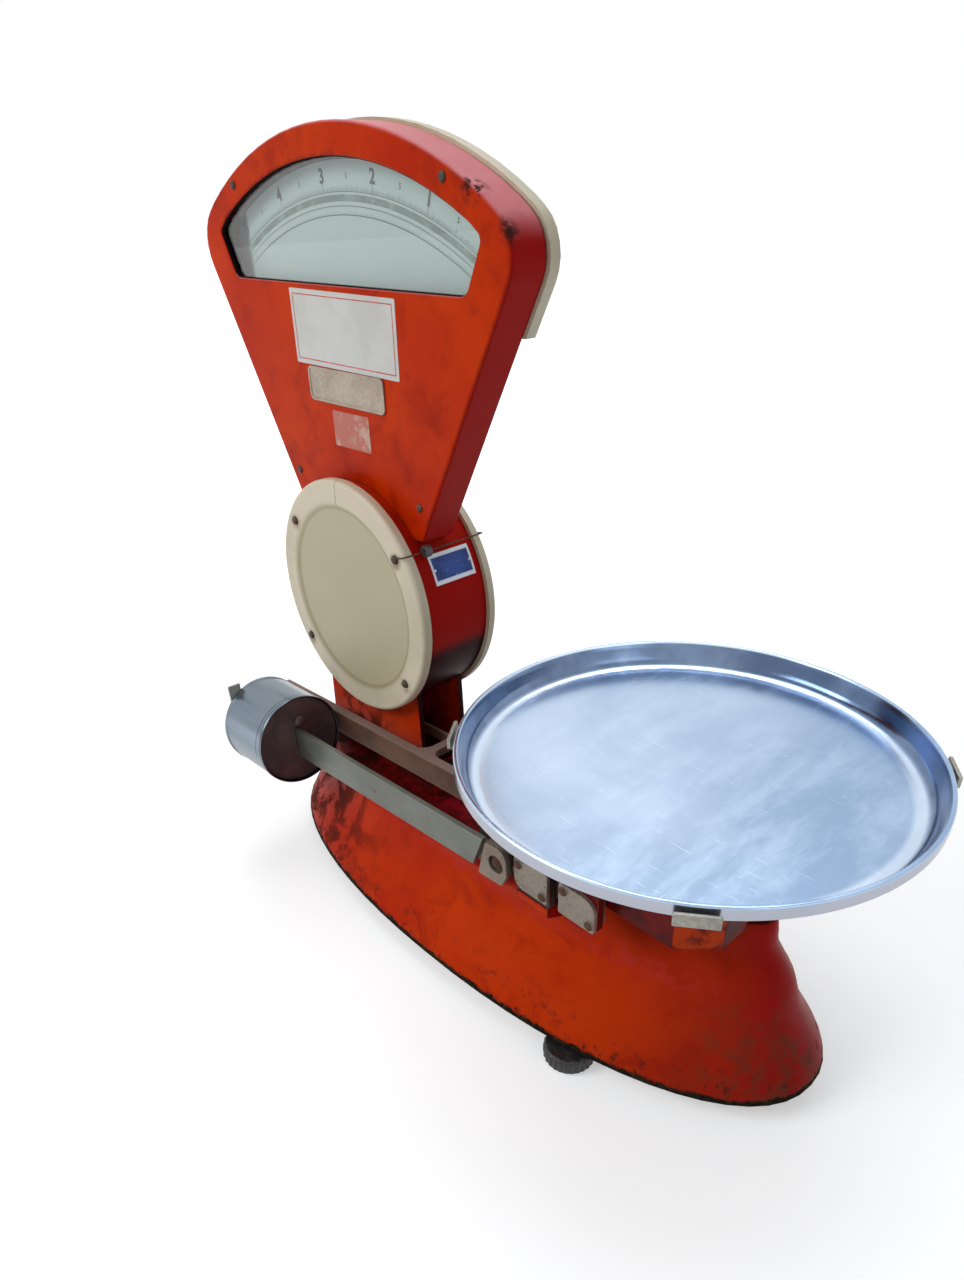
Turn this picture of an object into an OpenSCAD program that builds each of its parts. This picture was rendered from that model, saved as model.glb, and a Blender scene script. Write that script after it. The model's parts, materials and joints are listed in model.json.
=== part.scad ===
/* [Pan] */
// Diameter of the weighing pan over its rim
pan_d = 340; // [260:5:400]
// Height of the pan's rim above the counter
pan_rim_z = 262; // [250:1:280]
// Depth of the pan, rim to floor
pan_depth = 20; // [18:1:30]
// Thickness of the pan's sheet
pan_sheet = 1.4; // [1:0.1:2.5]
// Width of one bent-up tab on the pan carrier
tab_w = 27; // [18:1:36]

/* [Base] */
// Length of the boat-shaped base
base_len = 627; // [560:1:680]
// Width of the base across its skirt
base_w = 244; // [236:1:270]
// Wall of the base casting
base_wall = 6; // [4:0.5:8]
// Height of the base's lower edge above the counter
base_lift = 18; // [16:0.5:24]
// Height of the shoulder where the skirt ends
shoulder_z = 100; // [94:1:103]
// Height of the hump under the pan
hump_z = 150; // [140:1:152]

/* [Feet] */
// Diameter of a knurled foot wheel
foot_d = 43; // [28:1:44]
// Thickness of a foot wheel
foot_h = 15; // [10:0.5:15.5]
// Diameter of a foot's screw
foot_screw_d = 6; // [5:0.5:7]

/* [Drum and neck] */
// Distance between the drum axis and the pan axis
drum_to_pan = 357; // [340:1:375]
// Height of the drum axis above the counter
drum_z = 277.5; // [272:0.5:290]
// Diameter of the round drum covers
cover_d = 216; // [200:1:224]
// Depth over both drum covers
drum_depth = 85; // [76:1:96]
// Thickness of a drum cover
cover_t = 9; // [7:0.5:12]
// Width of the neck at its top
neck_w = 142; // [120:1:160]
// Depth of the neck, front to rear
neck_depth = 55; // [48:1:60]

/* [Head] */
// Depth of the red fan-shaped head
head_depth = 33.5; // [30:0.5:40]
// Height of the head's top above the drum axis
head_top = 356; // [340:1:380]
// Half of the head's width at the level of the drum axis, where its sides would meet it
head_root = 50; // [44:1:56]
// Spread of the head's sides per unit of height
head_spread = 0.544; // [0.5:0.002:0.58]
// Wall of the head housing
head_wall = 4; // [2:0.5:5]
// Depth of the pale cover behind the head
rear_cover_t = 11; // [8:0.5:15]

/* [Beam] */
// Height of the fulcrum above the counter
fulcrum_z = 151; // [149:0.5:154]
// Distance from the fulcrum to the load knife edge
load_arm = 47; // [42:0.5:50]
// Tilt of the unloaded beam, pan end up
rest_tilt = 3; // [2:0.1:3.5]
// Height of the poise bar
bar_h = 31; // [20:0.5:32]
// Thickness of the poise bar
bar_t = 5; // [3:0.5:6]
// Diameter of the poise
poise_d = 91; // [76:1:92]
// Length of the poise
poise_len = 70; // [56:1:80]

/* [Pendulum] */
// Swing of the pointer over the whole dial
pointer_swing = 60; // [50:1:64]
// Turn of the beam over the whole dial
beam_swing = 3.5; // [3:0.1:4]
// Distance from the pendulum's axis to its bob
bob_arm = 60; // [48:1:66]
// Diameter of the pendulum bob
bob_d = 44; // [30:1:48]

/* [Hidden] */

$fn = 96;
eps = 0.01;

// Colours
red = [0.80, 0.16, 0.03];
cream = [0.85, 0.80, 0.62];
steel = [0.62, 0.64, 0.66];
dark_steel = [0.30, 0.30, 0.31];
beam_brown = [0.55, 0.42, 0.37];
plum = [0.33, 0.20, 0.21];
brass = [0.70, 0.55, 0.28];
black = [0.06, 0.06, 0.06];
white = [0.93, 0.94, 0.92];
blue = [0.10, 0.20, 0.55];

// Clearances
run_gap = 0.05;      // a pin in its running bore
face_gap = 0.3;      // curved faces that pass each other
open_gap = 1;        // the pivots left open in the linkage

// Main axes and planes
pan_x = 192.25;
drum_x = pan_x - drum_to_pan;
column_y = 2.5;
base_x = pan_x - 172.5;
fulcrum_x = pan_x - 67;

// Points of an arc about a centre
function arc(c, r, a0, a1, n) =
    [for (i = [0:n]) let (a = a0 + (a1 - a0) * i / n) [c[0] + r * cos(a), c[1] + r * sin(a)]];
function unit(v) = v / norm(v);
// A polygon's points with each corner rounded to its own radius
function corner(p, a, b, r, n = 6) =
    let (
        u = unit(a - p),
        v = unit(b - p),
        h = acos(u * v) / 2,
        c = p + unit(u + v) * r / sin(h),
        s = p + u * r / tan(h) - c,
        e = p + v * r / tan(h) - c,
        a0 = atan2(s[1], s[0]),
        turn = atan2(s[0] * e[1] - s[1] * e[0], s * e)
    )
    [for (i = [0:n]) c + r * [cos(a0 + turn * i / n), sin(a0 + turn * i / n)]];
function rounded(pts, radii) =
    let (k = len(pts))
    [for (i = [0:k - 1])
        each (radii[i] > 0
            ? corner(pts[i], pts[(i + k - 1) % k], pts[(i + 1) % k], radii[i])
            : [pts[i]])];
function box_outline(w, h, r) = corners_outline(w, h, [r, r, r, r]);
function corners_outline(w, h, radii) =
    rounded([[-w / 2, -h / 2], [w / 2, -h / 2], [w / 2, h / 2], [-w / 2, h / 2]], radii);
// A square with its corners cut at 45 degrees, and the cuts' own corners rounded
function cut_square(w, cut, r) =
    let (a = w / 2, b = w / 2 - cut)
    rounded([[-b, -a], [b, -a], [a, -b], [a, b], [b, a], [-b, a], [-a, b], [-a, -b]],
        [for (i = [0:7]) r]);

// An X-Z outline drawn as a plate from y0 to y1
module plate_y(pts, y0, y1) {
    translate([0, y1, 0]) rotate([90, 0, 0]) linear_extrude(y1 - y0) polygon(pts);
}
// A round bar along Y from y0 to y1
module rod_y(r, y0, y1) {
    translate([0, y0, 0]) rotate([-90, 0, 0]) cylinder(r = r, h = y1 - y0);
}
// A profile of [radius, y] points turned about the Y axis
module turned_y(profile) {
    rotate([-90, 0, 0]) rotate_extrude() polygon(profile);
}
module block(x0, x1, y0, y1, z0, z1) {
    translate([x0, y0, z0]) cube([x1 - x0, y1 - y0, z1 - z0]);
}
// Both sides of the scale, front and rear
module both_sides() {
    children();
    mirror([0, 1, 0]) children();
}

// Base: a superellipse outline drawn in by an inset that grows with height
outline_power = 2.17;
half_len = base_len / 2;
half_w = base_w / 2;
shoulder_inset = 41.7;
hump_inset = 24;
inset_along = 0.9;
inset_across = 1.18;
crown = 4;
lip_h = 6;
around = 64;
// Profiles of the body's side: share of the climb, share of the inset
skirt_profile = [[0, 0.04], [0.16, 0.21], [0.32, 0.4], [0.48, 0.57], [0.64, 0.71], [0.8, 0.81],
    [0.92, 0.9], [1, 1]];
hump_profile = [[0.1, 0.15], [0.2, 0.3], [0.31, 0.45], [0.42, 0.57], [0.54, 0.65], [0.76, 0.7], [0.92, 0.76],
    [0.985, 0.86], [1, 1]];
lip_z = base_lift + lip_h;
hump_start = pan_x - 135;
hump_full = fulcrum_x - 10;

function spow(v, p) = sign(v) * pow(abs(v), p);
function outline_pt(t, inset, wall = 0) =
    [base_x + (half_len - inset_along * inset - wall) * spow(cos(t), 2 / outline_power),
     (half_w - inset_across * inset - wall) * spow(sin(t), 2 / outline_power)];
function blend01(v) = let (c = max(0, min(1, v))) c * c * (3 - 2 * c);
function hump_at(x) = blend01((x - hump_start) / (hump_full - hump_start));
// Height of the upper body at a row of its profile
function upper_z(x, row) =
    shoulder_z + crown * sqrt(row[1]) + (hump_z - shoulder_z - crown) * hump_at(x) * row[0];
function skirt_ring(row, wall) =
    [for (i = [0:around - 1])
        let (q = outline_pt(360 * i / around, shoulder_inset * row[1], wall))
        [q[0], q[1], lip_z + (shoulder_z - lip_z - wall) * row[0]]];
function upper_ring(row, wall) =
    [for (i = [0:around - 1])
        let (q = outline_pt(360 * i / around, shoulder_inset + hump_inset * row[1], wall))
        [q[0], q[1], upper_z(q[0], row) - wall]];
function foot_ring(wall) =
    [for (i = [0:around - 1])
        let (q = outline_pt(360 * i / around, 0, wall))
        [q[0], q[1], base_lift]];
outer_rings = concat(
    [foot_ring(0)],
    [for (row = skirt_profile) skirt_ring(row, 0)],
    [for (row = hump_profile) upper_ring(row, 0)]);
inner_rings = concat(
    [foot_ring(base_wall)],
    [for (i = [0:2:7]) skirt_ring(skirt_profile[i], base_wall)],
    [for (i = [0:2:8]) upper_ring(hump_profile[i], base_wall)]);
// Faces of a stack of rings, closed at its last ring by a strip across it
function side_faces(n_rings, start, flip) =
    [for (k = [0:n_rings - 2], i = [0:around - 1])
        let (
            j = (i + 1) % around,
            a = start + k * around + i,
            b = start + k * around + j,
            c = start + (k + 1) * around + j,
            d = start + (k + 1) * around + i,
            f = flip ? [a, b, c, d] : [d, c, b, a]
        )
        each [[f[0], f[1], f[2]], [f[0], f[2], f[3]]]];
function cap_faces(start, flip) =
    [for (i = [0:around / 2 - 1])
        let (
            a = start + i,
            b = start + i + 1,
            c = start + (around - i - 1) % around,
            d = start + (around - i) % around,
            f = flip ? [a, b, c, d] : [d, c, b, a]
        )
        each (i == 0 ? [[f[0], f[1], f[2]]]
            : i == around / 2 - 1 ? (flip ? [[a, b, d]] : [[d, b, a]])
            : [[f[0], f[1], f[2]], [f[0], f[2], f[3]]])];
function rim_faces(inner_start) =
    [for (i = [0:around - 1])
        let (j = (i + 1) % around)
        each [[i, j, inner_start + j], [i, inner_start + j, inner_start + i]]];

// Feet stand in lugs just inside the skirt
function outline_half_w(x) =
    half_w * pow(1 - pow(abs(x - base_x) / half_len, outline_power), 1 / outline_power);
lug_d = foot_screw_d + 4;
lug_h = 7;
lug_inset = 7.7;
left_inset = 16;
foot_x = pan_x - 15;
foot_y = outline_half_w(foot_x) - lug_inset;
left_foot_x = base_x - half_len + left_inset;
foot_r = foot_screw_d / 2;
foot_ribs = 26;
foot_rib_h = 1.4;

// Pads on the base
neck_pad_z = shoulder_z + crown + 1;
pillar_pad_z = fulcrum_z - 20;

// Drum and covers
housing_r = cover_d / 2 - 4;
housing_wall = 5;
cover_r = cover_d / 2;
cover_face = 3;
cover_ring_w = 24;
cover_recess = 2.5;
drum_half = drum_depth / 2;
cover_screw_r = cover_r - 12.5;
cover_screw_angle = 37.5;
screw_r = 2;
screw_head_r = 4;
screw_head_h = 2.4;
cover_lug_r = 6;

// Neck
neck_wall = 5;
neck_flare = 14;
neck_heel = 5;
neck_front = column_y - neck_depth / 2;
neck_rear = column_y + neck_depth / 2;
neck_waist_z = neck_pad_z + 24;

// Head: depths along Y
head_front = column_y - 22.2;
head_rear = head_front + head_depth;
head_bottom = 70;
head_arc_z = 20;
head_corner_r = 32;
sill = 253.5;
window_half = 151;
window_corner = 167;
window_corner_z = 287;
window_arc_r = 327;
window_arc_z = head_top - window_arc_r - 21.5;
window_round = 9;
glass_t = 2;
glass_lap = 5;
// The upper screws follow the head's top arc, at one distance in from its edge
head_screw_in = 7.84;
head_screw_turn = 23.91;
head_screw_r = head_top - head_arc_z - head_screw_in;
head_screw_x = head_screw_r * sin(head_screw_turn);
head_screw_z = head_arc_z + head_screw_r * cos(head_screw_turn);
head_screw_places = [
    [-head_screw_x, head_screw_z], [head_screw_x, head_screw_z], [-88, 99], [88, 99]];
rear_cover_sill = 226;
rear_cover_proud = 2;
rear_cover_wall = 3;

// Half angle at which the head's side meets its top arc, seen from the arc's centre
function head_outline(d) =
    let (
        r = head_top - head_arc_z - d,
        slope = head_spread,
        a = head_root - d * sqrt(1 + slope * slope) + head_arc_z * slope,
        k = 1 + slope * slope,
        zc = (-a * slope + sqrt(pow(a * slope, 2) - k * (a * a - r * r))) / k,
        xc = a + slope * zc,
        half = atan2(xc, zc) - 7,
        low = head_bottom + d,
        x_low = a + slope * (low - head_arc_z)
    )
    rounded(
        concat(
            [[-x_low, low], [x_low, low], [xc, zc + head_arc_z]],
            arc([0, head_arc_z], r, 90 - half, 90 + half, 20),
            [[-xc, zc + head_arc_z]]),
        concat([3, 3, head_corner_r - d], [for (i = [0:20]) 0], [head_corner_r - d]));
function window_outline(d) =
    let (
        r = window_arc_r + d,
        half = atan2(window_corner, window_corner_z - window_arc_z) - 2.5
    )
    rounded(
        concat(
            [[-window_half - d, sill - d], [window_half + d, sill - d],
             [window_corner + d, window_corner_z + d * 0.5]],
            arc([0, window_arc_z], r, 90 - half, 90 + half, 16),
            [[-window_corner - d, window_corner_z + d * 0.5]]),
        concat([window_round, window_round, 5], [for (i = [0:16]) 0], [5]));

// Dials: two plates back to back on four posts, with a pointer in front of each
dial_r = head_top - 7;
dial_half_low = 150;
dial_half = 161;
dial_low = 236;
dial_corner_z = dial_low + 45;
dial_t = 1;
front_dial_y = column_y - 6.5;
rear_dial_y = column_y - 1;
dial_post_r = 2.5;
dial_post_at = head_top - 13;
dial_post_angles = [-25, -9, 9, 25];
dial_outline = rounded(
    concat(
        [[-dial_half_low, dial_low], [dial_half_low, dial_low], [dial_half, dial_corner_z]],
        arc([0, 0], dial_r, 63.5, 116.5, 18),
        [[-dial_half, dial_corner_z]]),
    concat([4, 4, 4], [for (i = [0:18]) 0], [4]));

// Pendulum, its shaft and the pull from the beam
shaft_r = 4;
bearing_r = 11;
bridge_h = 30;
bridge_t = 4;
swing_ratio = beam_swing / pointer_swing;
tape_t = 0.6;
tape_w = 8;
sector_r = swing_ratio * (fulcrum_x - drum_x - tape_t / 2 - face_gap) / (1 + swing_ratio);
rod_x = drum_x + sector_r + tape_t / 2 + face_gap;
rod_r = 2.5;
rod_top_z = drum_z - 70;
pointer_rest = 30;
pointer_tip = 322;
pointer_tail = 14;
pointer_t = 1;
bob_rest = 75;
bob_w = 26;
front_pointer_y = column_y - 11;
rear_pointer_y = column_y + 5.5;

// Linkage places
pan_hub_half = 77;
function on_beam_x(x, z) = fulcrum_x + x * cos(rest_tilt) - z * sin(rest_tilt);
function on_beam_z(x, z) = fulcrum_z + x * sin(rest_tilt) + z * cos(rest_tilt);
load_x = on_beam_x(load_arm, 0);
load_z = on_beam_z(load_arm, 0);
link_pin_r = 3;
link_z = 46;
link_end_z = link_z + load_arm * sin(rest_tilt);
link_boss_r = 7.5;
link_half = 4;
stem_r = 7;
stem_hole_r = 14;

// Beam sections, in the beam's own frame with the fulcrum at the origin
arm_w = 10;
arm_in = 41;
arm_y = arm_in + arm_w / 2;
arm_top = 18;
flange_t = 4;
web_t = 6;
arm_h = 24;
arm_left = -426;
tie_x = -192;
tie_w = 10;
tie_t = 8;
tie_fillet = 11;
cheek_in = pan_hub_half + 1.5;
cheek_t = 5;
cheek_out = cheek_in + cheek_t;
yoke_x = -62;
yoke_w = 14;
bar_y = -97;
bar_mid_z = 1.8;
bar_right = -48;
bar_slant = 14;
bar_end_gap = 4;
bracket_left = -45;
bracket_right = -22;
bracket_eye = [-34.2, -0.3];
bracket_eye_r = 8;
bracket_bolt_r = 5.5;
strap_t = 4;
nose_z = 9;
nose_pin_r = 3;
nose_x = (rod_x - fulcrum_x + nose_z * sin(rest_tilt)) / cos(rest_tilt);
knife_h = 9;
knife_half = 5;
knife = [[0, 0], [knife_half, knife_h], [-knife_half, knife_h]];
knife_end = cheek_out + 8;
pillar_in = cheek_out + 1.5;
pillar_t = 7;
keeper_t = 3;
vee_w = 16;
vee_drop = 12;
vee_half = 7;
vee_gap = 0.2;
keeper_w = 35;
keeper_h = 29;
poise_x = -353.5;
poise_mid_z = bar_mid_z + 3.2;
poise_r = poise_d / 2;
poise_wall = 2;
poise_recess = 3.5;
slot_gap = 0.3;

// Carrier: a square inverted box with cut corners under the pan
hub_cut = 24.5;
hub_round = 7;
hub_wall = 4;
hub_low_z = fulcrum_z + 1;
hub_notch_z = fulcrum_z + 7;
spider_t = 5;
spider_top_z = pan_rim_z - pan_depth - pan_sheet - 0.05;
hub_top_z = spider_top_z - spider_t;
spider_angles = [-53, 37, 127, 217];
spider_w = 24;
tab_t = 3;
tab_gap = 2.6;
tab_r = pan_d / 2 + tab_gap;
tab_top_z = pan_rim_z - 3;
tab_low_z = pan_rim_z - pan_depth + 8;
arm_bend = pan_d / 2 - 12;
skirt_h = 9.7;
lug_plate_w = 36;
lug_shelf_z = load_z + 26;

// Dashpot
dashpot_x = on_beam_x(tie_x + tie_w / 2, arm_top - tie_t / 2);
dashpot_y = 24;
dashpot_r = 24;
dashpot_wall = 3;
dashpot_low_z = 42;
deck_under_z = shoulder_z + crown - base_wall;
dashpot_hole_r = 6;
piston_rod_r = 2.5;

// Seal wire, from the front cover's upper right screw round to the rear cover's
wire_d = 1.6;
wire_path = [
    [79, -44, 60.5], [82.5, -44.7, 61.5], [86.5, -44.6, 62.5], [89.6, -42.8, 63.3], [90.5, -38.5, 63.5],
    [90.5, -30, 63.5], [90.5, -20, 63.5], [90.5, -8, 63.5], [90.5, 5, 63.5], [90.5, 18, 63.5],
    [90.5, 30, 63.5], [90.5, 38.5, 63.5], [89.6, 42.8, 63.3], [86.5, 44.6, 62.5], [82.5, 44.7, 61.5],
    [79, 44, 60.5]];
wire_sides = 8;
seal_at = [90.5, -20, 63.5];
seal_r = 5;
seal_t = 6;

module on_beam() {
    translate([fulcrum_x, 0, fulcrum_z]) rotate([0, -rest_tilt, 0]) children();
}
module at_drum() {
    translate([drum_x, column_y, drum_z]) children();
}
module at_head() {
    translate([drum_x, 0, drum_z]) children();
}

// Root: base, feet and column

module base_casting() {
    rings = concat(outer_rings, inner_rings);
    inner_start = len(outer_rings) * around;
    faces = concat(
        side_faces(len(outer_rings), 0, false),
        cap_faces(inner_start - around, false),
        side_faces(len(inner_rings), inner_start, true),
        cap_faces((len(rings) - 1) * around, true),
        rim_faces(inner_start));
    color(red) difference() {
        union() {
            polyhedron([for (r = rings) each r], faces, convexity = 6);
            each_foot() translate([0, 0, base_lift]) cylinder(d = lug_d, h = lug_h);
            block(
                left_foot_x - left_inset + base_wall / 2, left_foot_x, -lug_d / 2, lug_d / 2,
                base_lift, base_lift + lug_h);
            intersection() {
                block(
                    drum_x - neck_w / 2 - neck_heel, drum_x + neck_w / 2 + neck_flare,
                    neck_front - 3, neck_rear + 3, neck_pad_z - 6, neck_pad_z);
                linear_extrude(neck_pad_z)
                    polygon([for (i = [0:around - 1]) outline_pt(360 * i / around, shoulder_inset)]);
            }
            both_sides() fulcrum_corbel();
        }
        each_foot() translate([0, 0, base_lift - 1]) cylinder(r = foot_r + run_gap, h = lug_h + 1);
        translate([load_x, 0, hump_z - 20]) cylinder(r = stem_hole_r, h = 40);
        translate([dashpot_x, dashpot_y, deck_under_z - 10]) cylinder(r = dashpot_hole_r, h = 30);
    }
}

// A bracket of the casting that carries a fulcrum pillar beside the hump
module fulcrum_corbel() {
    reach = pillar_in + pillar_t + 1;
    hump_side = half_w - inset_across * (shoulder_inset + hump_inset);
    translate([fulcrum_x - keeper_w / 2, 0, 0]) rotate([90, 0, 90]) linear_extrude(keeper_w) polygon([
        [hump_side + 15.5, pillar_pad_z - 25], [reach, pillar_pad_z - 9], [reach, pillar_pad_z],
        [hump_side + 1.5, pillar_pad_z]]);
}
module each_foot() {
    for (p = [[foot_x, -foot_y], [foot_x, foot_y], [left_foot_x, 0]]) translate([p[0], p[1], 0]) children();
}

module foot_wheel(x, y) {
    ribbed = [for (i = [0:foot_ribs * 4 - 1])
        let (a = 360 * i / (foot_ribs * 4), r = foot_d / 2 - foot_rib_h * (1 - cos(90 * (i % 4))) / 2)
        [r * cos(a), r * sin(a)]];
    color(black) translate([x, y, 0]) difference() {
        intersection() {
            linear_extrude(foot_h) polygon(ribbed);
            rotate_extrude() polygon([
                [0, 0], [foot_d / 2 - 3, 0], [foot_d / 2 + 1, 4],
                [foot_d / 2 + 1, foot_h - 4], [foot_d / 2 - 3, foot_h], [0, foot_h]]);
        }
        translate([0, 0, 4]) cylinder(r = foot_r, h = foot_h);
    }
}
module foot_screw(x, y) {
    color(dark_steel) translate([x, y, 4]) cylinder(r = foot_r, h = base_lift + lug_h - 4.5);
}

module neck_column() {
    hw = neck_w / 2;
    top = drum_z - 40;
    function neck_outline(d) = [
        [-hw - neck_heel + d, neck_pad_z], [hw + neck_flare - d, neck_pad_z],
        [hw + 4 - d, neck_waist_z], [hw - d, top], [-hw + d, top], [-hw - 4 + d, neck_waist_z]];
    color(red) difference() {
        translate([drum_x, 0, 0]) difference() {
            plate_y(neck_outline(0), neck_front, neck_rear);
            translate([0, 0, -eps])
                plate_y(neck_outline(neck_wall), neck_front + neck_wall, neck_rear - neck_wall);
            block(-hw + neck_wall, hw - neck_wall, neck_front + neck_wall, neck_rear - neck_wall,
                neck_waist_z, top + 1);
            block(hw - 14, hw + 30, neck_front + neck_wall, neck_rear - neck_wall,
                neck_pad_z + 14, top + 1);
        }
        at_drum() rod_y(housing_r + run_gap, -drum_half, drum_half);
    }
}

module drum_housing() {
    half = drum_half - cover_t;
    color(red) at_drum() difference() {
        union() {
            turned_y([[housing_r - housing_wall, -half], [housing_r, -half], [housing_r, half],
                [housing_r - housing_wall, half]]);
            at_cover_screws() rod_y(cover_lug_r, -half, half);
        }
        at_cover_screws() rod_y(screw_r + run_gap, -half - 1, half + 1);
        block(-60, 60, -14, 9, housing_r - 55, housing_r + 5);
        block(-8, 36, -9, 9, -housing_r - 5, -housing_r + 12);
    }
}
module at_cover_screws() {
    for (a = [cover_screw_angle, 180 - cover_screw_angle, 180 + cover_screw_angle, -cover_screw_angle])
        translate([cover_screw_r * cos(a), 0, cover_screw_r * sin(a)]) children();
}
// A drum cover with its rim at y = 0 and its face towards -Y
module drum_cover() {
    ring_in = cover_r - cover_ring_w;
    color(cream) difference() {
        turned_y(concat(
            [[0, 0], [0, cover_recess - cover_t], [ring_in, cover_recess - cover_t], [ring_in + 4, -cover_t]],
            arc([cover_r - 4, 4 - cover_t], 4, -90, 0, 8),
            [[cover_r, 0]]));
        rod_y(housing_r - housing_wall - 2 * cover_lug_r, cover_recess + cover_face - cover_t, 1);
        at_cover_screws() rod_y(screw_r + run_gap, -cover_t - 1, 1);
    }
}
module front_drum_cover() {
    at_drum() translate([0, cover_t - drum_half, 0]) drum_cover();
}
module rear_drum_cover() {
    at_drum() translate([0, drum_half - cover_t, 0]) mirror([0, 1, 0]) drum_cover();
}
module round_screw(len, head_r = screw_head_r, head_h = screw_head_h) {
    turned_y([
        [0, -head_h], [head_r * 0.55, -head_h], [head_r * 0.9, -head_h * 0.6],
        [head_r, 0], [screw_r, 0], [screw_r, len], [0, len]]);
}
module drum_cover_screws() {
    color(dark_steel) at_drum() both_sides() at_cover_screws()
        translate([0, -drum_half, 0]) round_screw(cover_t + 12);
}

module head_housing() {
    color(red) difference() {
        at_head() union() {
            difference() {
                plate_y(head_outline(0), head_front, head_rear);
                plate_y(head_outline(head_wall), head_front + head_wall, head_rear - head_wall + 1);
                plate_y(window_outline(0), head_front - 1, head_rear + 1);
                for (p = head_screw_places) translate([p[0], 0, p[1]])
                    rod_y(screw_r + run_gap, head_front - 1, head_front + head_wall + 1);
            }
            dial_posts() rod_y(dial_post_r, head_front + head_wall - 1, head_rear - head_wall + 2);
        }
        at_drum() rod_y(housing_r + run_gap, -drum_half, drum_half);
    }
}
module dial_posts() {
    for (a = dial_post_angles)
        translate([dial_post_at * sin(a), 0, dial_post_at * cos(a)]) children();
}
module head_rear_cover() {
    y0 = head_rear;
    y1 = head_rear + rear_cover_t;
    top = 2 * head_top;
    color(cream) at_head() intersection() {
        difference() {
            plate_y(head_outline(-rear_cover_proud), y0, y1);
            plate_y(head_outline(rear_cover_wall), y0 - 1, y1 - rear_cover_wall);
            plate_y(window_outline(-2), y0, y1 + 1);
        }
        block(-top, top, y0, y1, rear_cover_sill, top);
    }
}
module head_screws() {
    color(dark_steel) at_head() for (p = head_screw_places)
        translate([p[0], head_front, p[1]]) round_screw(head_wall + 5, 3.4, 1.8);
}
module window_glasses() {
    front = head_front + head_wall;
    rear = head_rear + rear_cover_t - rear_cover_wall;
    color([0.8, 0.9, 0.9, 0.35]) at_head() {
        plate_y(window_outline(glass_lap), front, front + glass_t);
        plate_y(window_outline(glass_lap - 2), rear - glass_t, rear);
    }
}
module dial(y) {
    color(white) at_head() difference() {
        plate_y(dial_outline, y, y + dial_t);
        dial_posts() rod_y(dial_post_r, y - 1, y + dial_t + 1);
    }
}
module front_dial() {
    dial(front_dial_y);
}
module rear_dial() {
    dial(rear_dial_y);
}
module nameplate() {
    w = 105;
    h = 27;
    border = 2;
    color(steel) at_head() translate([0.5, head_front, 178.5]) {
        plate_y(box_outline(w, h, 5), -1, 0);
        difference() {
            plate_y(box_outline(w, h, 5), -1.6, -1);
            plate_y(box_outline(w - 2 * border, h - 2 * border, 3.5), -2, -0.5);
        }
    }
}
module verification_plate() {
    plate_t = 0.8;
    color(blue) at_drum() rotate([0, -33.5, 0]) rotate([-90, 0, 0]) rotate_extrude(angle = 14.5)
        translate([housing_r + run_gap, -18]) square([plate_t, 44.5]);
}
module plate_rivets() {
    color(steel) at_drum() rotate([0, -26, 0]) for (y = [-15.5, 24])
        translate([housing_r + run_gap + 0.8, y, 0]) rotate([0, 90, 0])
            cylinder(r1 = 1.6, r2 = 1, h = 0.8, $fn = 24);
}

// Swept wire: a ring of points square to the path at each of its points
function path_dir(p, i) = unit(p[min(i + 1, len(p) - 1)] - p[max(i - 1, 0)]);
function ring_at(c, d, r) =
    let (u = unit(cross(d, [1, 0.2, 1])), v = cross(d, u))
    [for (k = [0:wire_sides - 1]) c + r * (cos(360 * k / wire_sides) * u + sin(360 * k / wire_sides) * v)];
module seal_wire() {
    n = len(wire_path);
    pts = [for (i = [0:n - 1]) each ring_at(wire_path[i], path_dir(wire_path, i), wire_d / 2)];
    faces = concat(
        [[for (k = [0:wire_sides - 1]) k]],
        [for (i = [0:n - 2], k = [0:wire_sides - 1])
            let (
                a = i * wire_sides + k,
                b = i * wire_sides + (k + 1) % wire_sides
            )
            each [[a, a + wire_sides, b + wire_sides], [a, b + wire_sides, b]]],
        [[for (k = [wire_sides - 1:-1:0]) (n - 1) * wire_sides + k]]);
    color(dark_steel) at_drum() polyhedron(pts, faces);
}
module lead_seal() {
    color(steel) at_drum() translate(seal_at) difference() {
        rod_y(seal_r, -seal_t / 2, seal_t / 2);
        rod_y(wire_d / 2 + run_gap, -seal_t, seal_t);
    }
}

// Root: bearings and brackets

module at_fulcrum() {
    translate([fulcrum_x, 0, fulcrum_z]) children();
}
module at_load() {
    translate([load_x, 0, load_z]) children();
}
module fulcrum_pillars() {
    low = pillar_pad_z - fulcrum_z;
    color(dark_steel) at_fulcrum() both_sides() difference() {
        block(-keeper_w / 2, keeper_w / 2, pillar_in, pillar_in + pillar_t, low, keeper_h / 2);
        block(-vee_w / 2, vee_w / 2, pillar_in - 1, pillar_in + pillar_t + 1, -vee_drop, keeper_h);
        keeper_holes(pillar_in - 1, pillar_in + pillar_t + 1);
    }
}
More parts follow.
